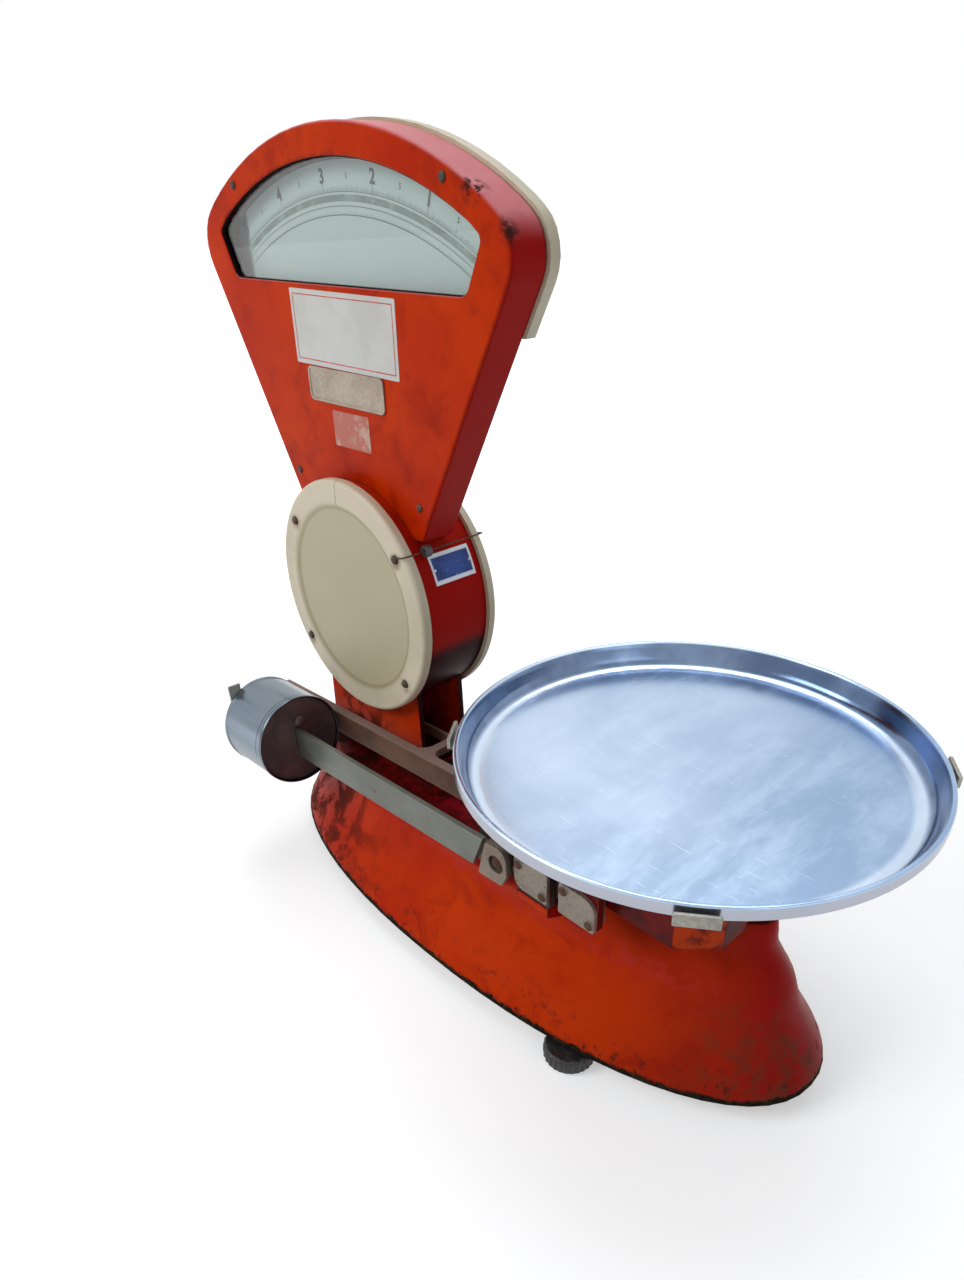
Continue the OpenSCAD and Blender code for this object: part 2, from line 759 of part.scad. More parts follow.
// A block with a vee notch whose bottom is at the origin, opening upwards
module vee_block() {
    difference() {
        plate_y([
            [-vee_w / 2, -vee_drop], [vee_w / 2, -vee_drop], [vee_w / 2, vee_half - 2],
            [vee_half, vee_half - 2], [0, -vee_gap], [-vee_half, vee_half - 2], [-vee_w / 2, vee_half - 2]],
            pillar_in, pillar_in + pillar_t);
    }
}
module fulcrum_bearings() {
    color(steel) at_fulcrum() both_sides() vee_block();
}
module keeper_holes(y0, y1) {
    for (p = [[-1, 1], [1, -1]])
        translate([p[0] * (keeper_w / 2 - 4.5), 0, p[1] * (keeper_h / 2 - 6)]) rod_y(screw_r, y0, y1);
}
module keeper(y, radii) {
    difference() {
        plate_y(corners_outline(keeper_w, keeper_h, radii), y, y + keeper_t);
        keeper_holes(y - 1, y + keeper_t + 1);
    }
    for (p = [[-1, 1], [1, -1]])
        translate([p[0] * (keeper_w / 2 - 4.5), y + keeper_t, p[1] * (keeper_h / 2 - 6)])
            mirror([0, 1, 0]) round_screw(keeper_t + pillar_t - 1);
}
module fulcrum_keepers() {
    color(steel) at_fulcrum() both_sides() keeper(pillar_in + pillar_t, [10, 2, 2, 2]);
}
module bearing_bridges() {
    reach = housing_r - housing_wall - run_gap;
    color(dark_steel) at_drum() for (y = [-26, 22]) difference() {
        intersection() {
            rod_y(reach, y, y + bridge_t);
            block(-reach, reach, y, y + bridge_t, -bridge_h / 2, bridge_h / 2);
        }
        rod_y(bearing_r, y - 1, y + bridge_t + 1);
    }
}
module pendulum_bearings() {
    color(steel) at_drum() for (y = [-26, 22]) translate([0, y, 0]) difference() {
        rod_y(bearing_r, 0, bridge_t);
        rod_y(shaft_r + run_gap, -1, bridge_t + 1);
    }
}
module dashpot_cylinder() {
    top = deck_under_z - 2;
    color(steel) translate([dashpot_x, dashpot_y, 0]) difference() {
        union() {
            translate([0, 0, dashpot_low_z]) cylinder(r = dashpot_r, h = top - dashpot_low_z);
            translate([0, 0, top - 4]) cylinder(r = dashpot_r + 4, h = 4);
            translate([0, 0, top - 1]) cylinder(r = dashpot_r / 2, h = deck_under_z - top + 1);
        }
        translate([0, 0, dashpot_low_z + dashpot_wall])
            cylinder(r = dashpot_r - dashpot_wall, h = top - dashpot_low_z - 2 * dashpot_wall);
        translate([0, 0, top - 10]) cylinder(r = piston_rod_r + open_gap, h = 20);
    }
}
module link_bracket() {
    ear_in = link_half + 0.2;
    ear_out = 9;
    color(dark_steel) translate([fulcrum_x, 0, link_z]) {
        both_sides() block(-8, 8, ear_in, ear_out, -8, hump_z - base_wall - 1.5 - link_z);
        block(-8, 8, -ear_in - eps, ear_in + eps, 30, 40);
        rod_y(link_pin_r, -ear_out, ear_out);
    }
}
module beam_stop() {
    stop_x = 20;
    reach = stop_x - fulcrum_x;
    low = shoulder_z + crown;
    tip = on_beam_z(reach, arm_top - arm_h) - 0.6;
    color(dark_steel) translate([stop_x, -arm_y, 0]) rotate_extrude() polygon([
        [0, low], [8, low], [8, low + 3], [4.5, low + 5], [4.5, tip - 6],
        [3.5, tip - 5], [3.5, tip - 1], [2.5, tip], [0, tip]]);
}

// Beam: everything here tilts with it

module beam_arm(x0, x1) {
    block(x0, x1, -arm_y - arm_w / 2, -arm_y + arm_w / 2, arm_top - flange_t, arm_top);
    block(x0, x1, -arm_y - arm_w / 2, -arm_y - arm_w / 2 + web_t, arm_top - arm_h, arm_top - flange_t + eps);
}
module beam_front_arm() {
    color(beam_brown) on_beam() beam_arm(arm_left, yoke_x);
}
module beam_rear_arm() {
    color(beam_brown) on_beam() mirror([0, 1, 0]) beam_arm(tie_x, yoke_x);
}
module beam_tie() {
    f = tie_fillet;
    right = tie_x + tie_w;
    outline = concat(
        arc([right + f, f - arm_in], f, 270, 180, 6),
        arc([right + f, arm_in - f], f, 180, 90, 6),
        [[tie_x, arm_in]],
        arc([tie_x - f, f - arm_in], f, 0, -90, 6));
    color(beam_brown) on_beam() difference() {
        translate([0, 0, arm_top - tie_t]) linear_extrude(tie_t) polygon(outline);
        translate([tie_x + tie_w / 2, dashpot_y, arm_top - tie_t - 1])
            cylinder(r = piston_rod_r + open_gap, h = tie_t + 2);
    }
}
module beam_nose() {
    color(beam_brown) on_beam() {
        block(nose_x - 6, tie_x, column_y - 6, column_y - 2.5, nose_z - 5, nose_z + 5);
        translate([nose_x, 0, nose_z]) rod_y(nose_pin_r, column_y - 4, column_y + 4.5);
    }
}
module beam_yoke() {
    color(beam_brown) on_beam() difference() {
        union() {
            block(yoke_x, yoke_x + yoke_w, -cheek_out, cheek_out, -6, 14);
            both_sides() block(yoke_x, load_arm + 14, cheek_in, cheek_out, -14, 16);
        }
        plate_y(knife, -cheek_out - 1, cheek_out + 1);
        translate([load_arm, 0, 0]) mirror([0, 0, 1]) plate_y(knife, -cheek_out - 1, cheek_out + 1);
    }
}
module fulcrum_knives() {
    color(steel) on_beam() both_sides() plate_y(knife, cheek_in, knife_end);
}
module load_knives() {
    color(steel) on_beam() translate([load_arm, 0, 0]) both_sides() mirror([0, 0, 1])
        plate_y(knife, cheek_in, knife_end);
}
module poise_bar() {
    left = poise_x - poise_len / 2 + bar_end_gap;
    low = bar_mid_z - bar_h / 2;
    color(steel) on_beam() plate_y(
        [[left, low], [bar_right - bar_slant, low], [bar_right, low + bar_h], [left, low + bar_h]],
        bar_y - bar_t / 2, bar_y + bar_t / 2);
}
// A rounded end plate beside the bar, a strap behind both, and a spacer to the yoke's cheek
module bar_bracket() {
    front = bar_y - bar_t / 2;
    back = bar_y + bar_t / 2;
    low = bar_mid_z - bar_h / 2 - 5;
    high = bar_mid_z + bar_h / 2 - 1;
    color(dark_steel) on_beam() {
        difference() {
            plate_y(rounded(
                [[bracket_left - bar_slant + 3, low], [bracket_right - 6, low], [bracket_right, low + 12],
                 [bracket_right, high], [bracket_left, high]],
                [2, 5, 5, 9, 2]), front, back + eps);
            translate([bracket_eye[0], 0, bracket_eye[1]]) rod_y(bracket_eye_r, front - 1, back + 1);
        }
        block(bracket_left - 30, bracket_right - 2, back, back + strap_t, bar_mid_z - 11.8, bar_mid_z + 10.2);
        block(
            bracket_left - 5, bracket_right - 8, back + strap_t - eps, -cheek_out,
            bar_mid_z - 9.8, bar_mid_z + 10.2);
    }
}
module bracket_bolt() {
    face = bar_y + bar_t / 2;
    color(dark_steel) on_beam() translate([bracket_eye[0], face, bracket_eye[1]]) turned_y([
        [0, -5], [bracket_bolt_r * 0.6, -4.6], [bracket_bolt_r, -3.4], [bracket_bolt_r, 0], [0, 0]]);
}

// Poise

module at_poise() {
    on_beam() translate([poise_x, bar_y, poise_mid_z]) children();
}
module poise_shell() {
    half = poise_len / 2;
    lip = 1.5;
    color(steel) at_poise() rotate([0, 90, 0]) rotate_extrude() polygon([
        [poise_r - poise_wall, -half + 1], [poise_r - poise_wall + 0.6, -half], [poise_r - 0.6, -half],
        [poise_r, -half + 1], [poise_r, -half + 4], [poise_r - lip / 2, -half + 5.5],
        [poise_r - lip / 2, half - 5.5], [poise_r, half - 4], [poise_r, half - 1],
        [poise_r - 0.6, half], [poise_r - poise_wall + 0.6, half], [poise_r - poise_wall, half - 1]]);
}
module poise_core() {
    half = poise_len / 2 - poise_recess;
    drop = bar_mid_z - poise_mid_z;
    color(plum) at_poise() difference() {
        translate([-half, 0, 0]) rotate([0, 90, 0]) cylinder(r = poise_r - poise_wall, h = 2 * half);
        block(-half - 1, half + 1, -bar_t / 2 - slot_gap, bar_t / 2 + slot_gap,
            drop - bar_h / 2 - slot_gap, drop + bar_h / 2 + slot_gap);
        poise_screw_place() cylinder(r = screw_r, h = 14);
    }
}
module poise_screw_place() {
    translate([poise_len / 2 - poise_recess - 12, 4, bar_mid_z - poise_mid_z + bar_h / 2 + 7.2])
        rotate([0, 90, 0]) children();
}
module poise_screw() {
    color(plum) at_poise() poise_screw_place() {
        cylinder(r = screw_r, h = 12);
        translate([0, 0, 12]) rotate_extrude() polygon([
            [0, 0], [6, 0], [5.6, 2], [4, 3.4], [0, 4]]);
    }
}
module poise_tab() {
    half = poise_len / 2;
    color(dark_steel) at_poise() translate([-half - 2.5, -25, 38]) block(0, 2.5, -6.5, 6.5, -8, 9);
}

// Carrier and pan

module carrier_hub() {
    w = 2 * pan_hub_half;
    color(red) translate([pan_x, 0, 0]) difference() {
        translate([0, 0, hub_low_z]) linear_extrude(hub_top_z - hub_low_z)
            polygon(cut_square(w, hub_cut, hub_round));
        translate([0, 0, hub_low_z - 1]) linear_extrude(hub_top_z - hub_low_z - hub_wall + 1)
            polygon(cut_square(w - 2 * hub_wall, hub_cut - hub_wall * (2 - sqrt(2)), hub_round - hub_wall));
        // The walls over the base's hump stay above it
        block(-pan_hub_half - 1, 1 + hub_wall - pan_hub_half, hub_cut - pan_hub_half, pan_hub_half - hub_cut,
            hub_low_z - 1, hub_notch_z);
        block(pan_hub_half - hub_wall - 1, pan_hub_half + 1, -hub_cut, hub_cut, hub_low_z - 1, hub_notch_z);
    }
}
module load_lugs() {
    shelf = lug_shelf_z - load_z;
    low = -keeper_h / 2 + 1;
    color(red) at_load() both_sides() difference() {
        union() {
            block(-lug_plate_w / 2, lug_plate_w / 2, pillar_in, pillar_in + pillar_t, low, shelf + 6);
            block(-lug_plate_w / 2, lug_plate_w / 2, pan_hub_half, pillar_in + eps, shelf, shelf + 6);
        }
        block(-vee_w / 2, vee_w / 2, pillar_in - 1, pillar_in + pillar_t + 1, low - 1, vee_drop);
        keeper_holes(pillar_in - 1, pillar_in + pillar_t + 1);
    }
}
module load_bearings() {
    color(steel) at_load() both_sides() mirror([0, 0, 1]) vee_block();
}
module load_keepers() {
    color(steel) at_load() both_sides() keeper(pillar_in + pillar_t, [2, 2, 12, 2]);
}
module pan_spider() {
    z0 = hub_top_z;
    color(dark_steel) translate([pan_x, 0, z0]) {
        cylinder(r = 30, h = spider_t - 0.4);
        for (a = spider_angles) rotate([0, 0, a]) {
            // A flat arm whose end slopes up to its tab
            rotate([90, 0, 0]) translate([0, 0, -spider_w / 2]) linear_extrude(spider_w) polygon([
                [20, 0], [arm_bend - 3, 0], [tab_r + tab_t / 2, tab_low_z - z0 + 1],
                [tab_r + tab_t / 2, tab_low_z - z0 + 4], [arm_bend, spider_t], [20, spider_t]]);
            block(tab_r, tab_r + tab_t, -tab_w / 2, tab_w / 2, tab_low_z - z0, tab_top_z - z0);
        }
    }
}
module carrier_stem() {
    fork_h = 22;
    ear_in = link_half + 0.2;
    ear_out = stem_r + 2;
    color(dark_steel) translate([load_x, 0, link_end_z]) {
        translate([0, 0, 10]) cylinder(r = stem_r, h = hub_top_z - hub_wall - link_end_z - 10);
        block(-stem_r, stem_r, -ear_out, ear_out, 10, 14);
        both_sides() block(-stem_r, stem_r, ear_in, ear_out, 10 - fork_h + 4, 10 + eps);
        rod_y(link_pin_r, -ear_out, ear_out);
    }
}
module pan() {
    r = pan_d / 2;
    floor_z = pan_rim_z - pan_depth;
    t = pan_sheet;
    color(steel) translate([pan_x, 0, 0]) rotate_extrude($fn = 128) polygon([
        [0, floor_z - t], [r - 18.8, floor_z - t],
        [r - 11.9, floor_z - t + 1.5], [r - 7.9, floor_z - t + 4.5],
        [r - 5.7, floor_z + 7.6], [r - 3.6, pan_rim_z - 5.2], [r - 2.6, pan_rim_z - 2],
        [r - 1.4, pan_rim_z - 2], [r - 1.4, pan_rim_z - skirt_h], [r - 0.3, pan_rim_z - skirt_h],
        [r, pan_rim_z - skirt_h + 0.4], [r, pan_rim_z - 1.4],
        [r - 0.5, pan_rim_z - 0.4], [r - 1.5, pan_rim_z],
        [r - 2.6, pan_rim_z], [r - 3.4, pan_rim_z - 0.6], [r - 5, pan_rim_z - 5], [r - 7, floor_z + 8],
        [r - 9, floor_z + 4], [r - 12.5, floor_z + 1.4], [r - 15.5, floor_z + 0.4], [r - 19, floor_z],
        [0, floor_z]]);
}
module check_link() {
    color(dark_steel) translate([fulcrum_x, 0, link_z]) rotate([0, -rest_tilt, 0]) difference() {
        union() {
            for (x = [0, load_arm]) translate([x, 0, 0]) rod_y(link_boss_r, -link_half, link_half);
            block(0, load_arm, -link_half, link_half, -5, 5);
        }
        rod_y(link_pin_r + run_gap, -link_half - 1, link_half + 1);
        translate([load_arm, 0, 0]) rod_y(link_pin_r + open_gap, -link_half - 1, link_half + 1);
    }
}

// Pull from the beam to the pendulum

module pull_rod() {
    eye_r = nose_pin_r + open_gap + 3;
    eye_z = on_beam_z(nose_x, nose_z);
    color(steel) translate([rod_x, column_y, 0]) {
        difference() {
            translate([0, 0, eye_z]) rod_y(eye_r, -1.5, 2.5);
            translate([0, 0, eye_z]) rod_y(nose_pin_r + open_gap, -3, 4);
        }
        translate([0, 0.5, eye_z + eye_r - 1]) cylinder(r = rod_r, h = rod_top_z - eye_z - eye_r + 1);
        block(-3, 3, -5, 5, rod_top_z - eps, rod_top_z + 10);
    }
}
module steel_tape() {
    color(steel) translate([rod_x, column_y, 0])
        block(-tape_t / 2, tape_t / 2, -tape_w / 2, tape_w / 2, rod_top_z + 10, drum_z);
}
module pendulum_shaft() {
    color(steel) at_drum() rod_y(shaft_r, -28, 28);
}
module tape_sector() {
    color(brass) at_drum() difference() {
        rod_y(sector_r, -4.5, 4.5);
        rod_y(shaft_r, -5, 5);
    }
}
module pendulum_bob() {
    color(brass) at_drum() rotate([0, 180 + bob_rest, 0]) {
        translate([0, 0, sector_r]) cylinder(r = 3.5, h = bob_arm - bob_d / 2 - sector_r + 2);
        translate([0, 0, bob_arm]) rod_y(bob_d / 2, -bob_w / 2, bob_w / 2);
    }
}
module pointers() {
    needle = [[-3, pointer_tail], [3, pointer_tail], [1.6, pointer_tip - 40], [0.5, pointer_tip],
        [-0.5, pointer_tip], [-1.6, pointer_tip - 40]];
    color(black) at_head() rotate([0, pointer_rest, 0]) for (y = [front_pointer_y, rear_pointer_y])
        difference() {
            union() {
                rod_y(pointer_tail + 4, y, y + pointer_t);
                plate_y(needle, y, y + pointer_t);
            }
            rod_y(shaft_r, y - 1, y + pointer_t + 1);
        }
}
module dashpot_piston() {
    tie_mid = on_beam_z(tie_x + tie_w / 2, arm_top - tie_t / 2);
    reach = tie_t / 2 + open_gap;
    piston_z = dashpot_low_z + 14;
    color(steel) translate([dashpot_x, dashpot_y, 0]) {
        translate([0, 0, piston_z]) cylinder(r = dashpot_r - dashpot_wall - face_gap, h = 4);
        translate([0, 0, piston_z]) cylinder(r = piston_rod_r, h = tie_mid + reach + 5 - piston_z);
        translate([0, 0, tie_mid - reach - 3]) cylinder(r = 4.5, h = 3);
        translate([0, 0, tie_mid + reach]) cylinder(r = 4.5, h = 3.5);
    }
}

base_casting();
neck_column();
drum_housing();
front_drum_cover();
rear_drum_cover();
drum_cover_screws();
head_housing();
head_rear_cover();
head_screws();
window_glasses();
front_dial();
rear_dial();
nameplate();
verification_plate();
plate_rivets();
seal_wire();
lead_seal();
fulcrum_pillars();
fulcrum_bearings();
fulcrum_keepers();
bearing_bridges();
pendulum_bearings();
dashpot_cylinder();
link_bracket();
beam_stop();
foot_wheel(foot_x, -foot_y);  // foot_wheel_front
foot_wheel(foot_x, foot_y);  // foot_wheel_rear
foot_wheel(left_foot_x, 0);  // foot_wheel_left
foot_screw(foot_x, -foot_y);  // foot_screw_front
foot_screw(foot_x, foot_y);  // foot_screw_rear
foot_screw(left_foot_x, 0);  // foot_screw_left
beam_front_arm();
beam_rear_arm();
beam_tie();
beam_nose();
beam_yoke();
fulcrum_knives();
load_knives();
poise_bar();
bar_bracket();
bracket_bolt();
poise_shell();
poise_core();
poise_screw();
poise_tab();
carrier_hub();
load_lugs();
load_bearings();
load_keepers();
pan_spider();
carrier_stem();
pan();
check_link();
pull_rod();
steel_tape();
pendulum_shaft();
tape_sector();
pendulum_bob();
pointers();
dashpot_piston();
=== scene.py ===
import json
import math

import bmesh
import bpy
from mathutils import Matrix, Vector
from mathutils.bvhtree import BVHTree

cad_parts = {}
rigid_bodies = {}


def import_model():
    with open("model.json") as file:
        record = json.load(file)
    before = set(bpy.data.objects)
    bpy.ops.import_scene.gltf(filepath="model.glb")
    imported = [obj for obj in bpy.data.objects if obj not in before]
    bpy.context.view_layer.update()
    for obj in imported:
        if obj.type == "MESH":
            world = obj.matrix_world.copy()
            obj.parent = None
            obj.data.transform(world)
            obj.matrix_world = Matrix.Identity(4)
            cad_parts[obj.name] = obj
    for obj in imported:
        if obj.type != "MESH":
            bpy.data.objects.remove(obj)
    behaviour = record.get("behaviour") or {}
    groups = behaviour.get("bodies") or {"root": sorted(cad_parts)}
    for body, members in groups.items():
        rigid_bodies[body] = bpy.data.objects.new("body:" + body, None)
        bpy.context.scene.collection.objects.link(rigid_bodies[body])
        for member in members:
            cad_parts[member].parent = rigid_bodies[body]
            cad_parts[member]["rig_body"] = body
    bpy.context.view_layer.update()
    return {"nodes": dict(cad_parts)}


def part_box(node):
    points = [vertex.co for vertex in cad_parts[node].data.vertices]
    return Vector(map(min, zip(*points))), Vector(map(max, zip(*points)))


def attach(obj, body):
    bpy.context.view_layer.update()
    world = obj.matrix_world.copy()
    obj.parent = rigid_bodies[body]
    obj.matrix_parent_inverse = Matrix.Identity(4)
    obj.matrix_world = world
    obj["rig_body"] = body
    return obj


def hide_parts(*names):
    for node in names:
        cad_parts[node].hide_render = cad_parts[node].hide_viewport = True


# Looks of an old shop counter scale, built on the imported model.
# Lengths are in metres. The base runs along x, the front is at -y, and z is up.
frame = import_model()
NODES = frame["nodes"]
MM = 0.001

# Places taken from the frame
pan_low, pan_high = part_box("pan")
cover_low, cover_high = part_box("front_drum_cover")
head_low, head_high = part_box("head_housing")
dial_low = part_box("front_dial")[0]
PAN_X = (pan_low.x + pan_high.x) / 2
PAN_RIM_Z = pan_high.z
AXIS_X = (cover_low.x + cover_high.x) / 2
AXIS_Z = (cover_low.z + cover_high.z) / 2
COVER_R = (cover_high.x - cover_low.x) / 2
COVER_FRONT_Y = cover_low.y
COVER_REAR_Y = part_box("rear_drum_cover")[1].y
HEAD_FRONT_Y, HEAD_REAR_Y = head_low.y, head_high.y
DIAL_FRONT_Y = dial_low.y
DIAL_REAR_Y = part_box("rear_dial")[1].y


# Node graphs

class Graph:
    """Short names for the shader nodes of one material."""

    def __init__(self, name):
        self.material = bpy.data.materials.new(name)
        self.material.use_nodes = True
        self.tree = self.material.node_tree
        self.shader = self.tree.nodes["Principled BSDF"]
        self.output = self.tree.nodes["Material Output"]
        coordinates = self.tree.nodes.new("ShaderNodeTexCoord")
        self.place = coordinates.outputs["Object"]
        self.x, self.y, self.z = self.split(self.place)
        self.facing_right, self.facing_back, self.facing_up = self.split(coordinates.outputs["Normal"])

    def link(self, value, socket):
        if isinstance(value, bpy.types.NodeSocket):
            self.tree.links.new(value, socket)
        elif isinstance(value, (tuple, list)) and len(value) == 3 and socket.type == "RGBA":
            socket.default_value = (*value, 1)
        else:
            socket.default_value = value

    def split(self, vector):
        node = self.tree.nodes.new("ShaderNodeSeparateXYZ")
        self.link(vector, node.inputs[0])
        return node.outputs[0], node.outputs[1], node.outputs[2]

    def join(self, x, y, z):
        node = self.tree.nodes.new("ShaderNodeCombineXYZ")
        for value, socket in zip((x, y, z), node.inputs):
            self.link(value, socket)
        return node.outputs[0]

    def calc(self, operation, a, b=0.0, clamp=False):
        node = self.tree.nodes.new("ShaderNodeMath")
        node.operation = operation
        node.use_clamp = clamp
        self.link(a, node.inputs[0])
        self.link(b, node.inputs[1])
        return node.outputs[0]

    def chain(self, operation, values):
        result = values[0]
        for value in values[1:]:
            result = self.calc(operation, result, value)
        return result

    def plus(self, *values):
        return self.chain("ADD", values)

    def minus(self, *values):
        return self.chain("SUBTRACT", values)

    def times(self, *values):
        return self.chain("MULTIPLY", values)

    def most(self, *values):
        return self.chain("MAXIMUM", values)

    def distance(self, a, b):
        """Distance from a point whose two offsets are a and b."""
        return self.calc("SQRT", self.plus(self.times(a, a), self.times(b, b)))

    def step(self, value, low, high):
        """0 before low and 1 past high, and the other way round where low is the greater."""
        node = self.tree.nodes.new("ShaderNodeMapRange")
        node.interpolation_type = "SMOOTHSTEP"
        self.link(value, node.inputs["Value"])
        flip = low > high
        node.inputs["From Min"].default_value = high if flip else low
        node.inputs["From Max"].default_value = low if flip else high
        node.inputs["To Min"].default_value = 1.0 if flip else 0.0
        node.inputs["To Max"].default_value = 0.0 if flip else 1.0
        return node.outputs["Result"]

    def noise(self, scale, detail=3.0, rough=0.55, stretch=None, distort=0.0):
        node = self.tree.nodes.new("ShaderNodeTexNoise")
        vector = self.place
        if stretch:
            mapping = self.tree.nodes.new("ShaderNodeMapping")
            mapping.inputs["Scale"].default_value = stretch
            self.link(self.place, mapping.inputs["Vector"])
            vector = mapping.outputs[0]
        self.link(vector, node.inputs["Vector"])
        node.inputs["Scale"].default_value = scale
        node.inputs["Detail"].default_value = detail
        node.inputs["Roughness"].default_value = rough
        node.inputs["Distortion"].default_value = distort
        return node.outputs["Fac"]

    def mix(self, share, a, b):
        node = self.tree.nodes.new("ShaderNodeMix")
        node.data_type = "RGBA"
        self.link(share, node.inputs["Factor"])
        self.link(a, node.inputs[6])
        self.link(b, node.inputs[7])
        return node.outputs[2]

    def layers(self, colour, *over):
        """Lays pairs of share and colour over a colour, one after another."""
        for share, tone in over:
            colour = self.mix(share, colour, tone)
        return colour

    def edges(self, radius):
        """About 1 along sharp edges and 0 on open faces."""
        bevel = self.tree.nodes.new("ShaderNodeBevel")
        bevel.samples = 4
        bevel.inputs["Radius"].default_value = radius
        geometry = self.tree.nodes.new("ShaderNodeNewGeometry")
        node = self.tree.nodes.new("ShaderNodeVectorMath")
        node.operation = "DOT_PRODUCT"
        self.link(bevel.outputs[0], node.inputs[0])
        self.link(geometry.outputs["Normal"], node.inputs[1])
        return self.step(node.outputs["Value"], 0.99, 0.85)

    def attribute(self, name):
        node = self.tree.nodes.new("ShaderNodeAttribute")
        node.attribute_name = name
        return node.outputs["Fac"]

    def near(self, point, radius, soft):
        """1 within radius of a point, fading over soft."""
        node = self.tree.nodes.new("ShaderNodeVectorMath")
        node.operation = "DISTANCE"
        self.link(self.place, node.inputs[0])
        node.inputs[1].default_value = point
        return self.step(node.outputs["Value"], radius + soft, radius)

    def bump(self, height, distance, strength=1.0):
        node = self.tree.nodes.new("ShaderNodeBump")
        node.inputs["Strength"].default_value = strength
        node.inputs["Distance"].default_value = distance
        self.link(height, node.inputs["Height"])
        self.link(node.outputs[0], self.shader.inputs["Normal"])

    def set(self, **values):
        for key, value in values.items():
            socket = key.replace("_", " ").title().replace("Ior", "IOR")
            self.link(value, self.shader.inputs[socket])
        return self.material


# Materials

# The head's front edge is knocked at these turns from straight up, in radians about the middle of its arc
KNOCK_TURNS = (0.50, 0.62, 0.69, 0.80)
KNOCK_ARC_R = 0.336
KNOCK_ARC_Z = AXIS_Z + 0.020

# Heights that the castings' tones follow
LIP_Z = 0.021
DECK_Z = 0.099
LOW_Z = 0.13
DRUM_FOOT_Z = 0.245
HEAD_FOOT_Z = 0.40
STAIN_PLACE = (0.31, -0.03, 0.03)


def red_tones(g, broad, patch, speck, low):
    """Orange red paint with random dark patches, and painted light: shade on right-facing sides, on the
    base's right end and on low left-facing faces, a shaded deck with real dark specks, a pink highlight along
    the shoulder and a pink sheen on the head's top.
    """
    plain = g.mix(g.step(broad, 0.35, 0.68), (0.43, 0.017, 0.0), (0.54, 0.036, 0.0))
    dark_patches = g.times(g.step(patch, 0.47, 0.72), 0.65)
    # Painted shade: the low right end of the base is darker crimson.
    right_end_shade = g.times(g.step(g.x, 0.14, 0.33), low, 0.75)
    # Painted shade: faces turned to the right are deep crimson.
    right_sides_shade = g.times(g.step(g.facing_right, 0.35, 0.90), 0.92)
    # Painted shade on the deck under the beam, with real dark specks of grime in it.
    deck = g.times(g.step(g.facing_up, 0.72, 0.95), g.step(g.z, DECK_Z - 0.011, DECK_Z), low, 0.88)
    deck_shade_and_grime = g.mix(g.step(g.noise(48, 6, 0.72), 0.42, 0.56), (0.225, 0.004, 0.014), (0.008, 0.002, 0.003))
    # Painted highlight: pinkish speckles along the base's shoulder.
    shoulder_highlight = g.times(
        g.step(g.z, DECK_Z - 0.013, DECK_Z - 0.004), g.step(g.z, DECK_Z + 0.007, DECK_Z + 0.002),
        g.step(speck, 0.42, 0.58), low, g.step(g.y, -0.03, -0.05), 0.6)
    # Painted sheen: the head's upward faces are lightened to pink.
    head_top_sheen = g.times(
        g.step(g.facing_up, 0.25, 0.9), g.step(g.z, HEAD_FOOT_Z + 0.02, HEAD_FOOT_Z + 0.10), 0.95)
    # Painted shade: low faces turned to the left are darker.
    left_sides_shade = g.times(g.step(g.facing_right, -0.20, -0.75), low, 0.75)
    return g.layers(
        plain,
        (dark_patches, (0.25, 0.008, 0.001)),
        (right_end_shade, (0.26, 0.010, 0.005)),
        (right_sides_shade, (0.330, 0.003, 0.003)),
        (deck, deck_shade_and_grime),
        (shoulder_highlight, (0.44, 0.028, 0.022)),
        (g.times(head_top_sheen, g.plus(0.45, g.times(patch, 0.9))), (0.62, 0.20, 0.22)),
        (left_sides_shade, (0.25, 0.009, 0.0)))


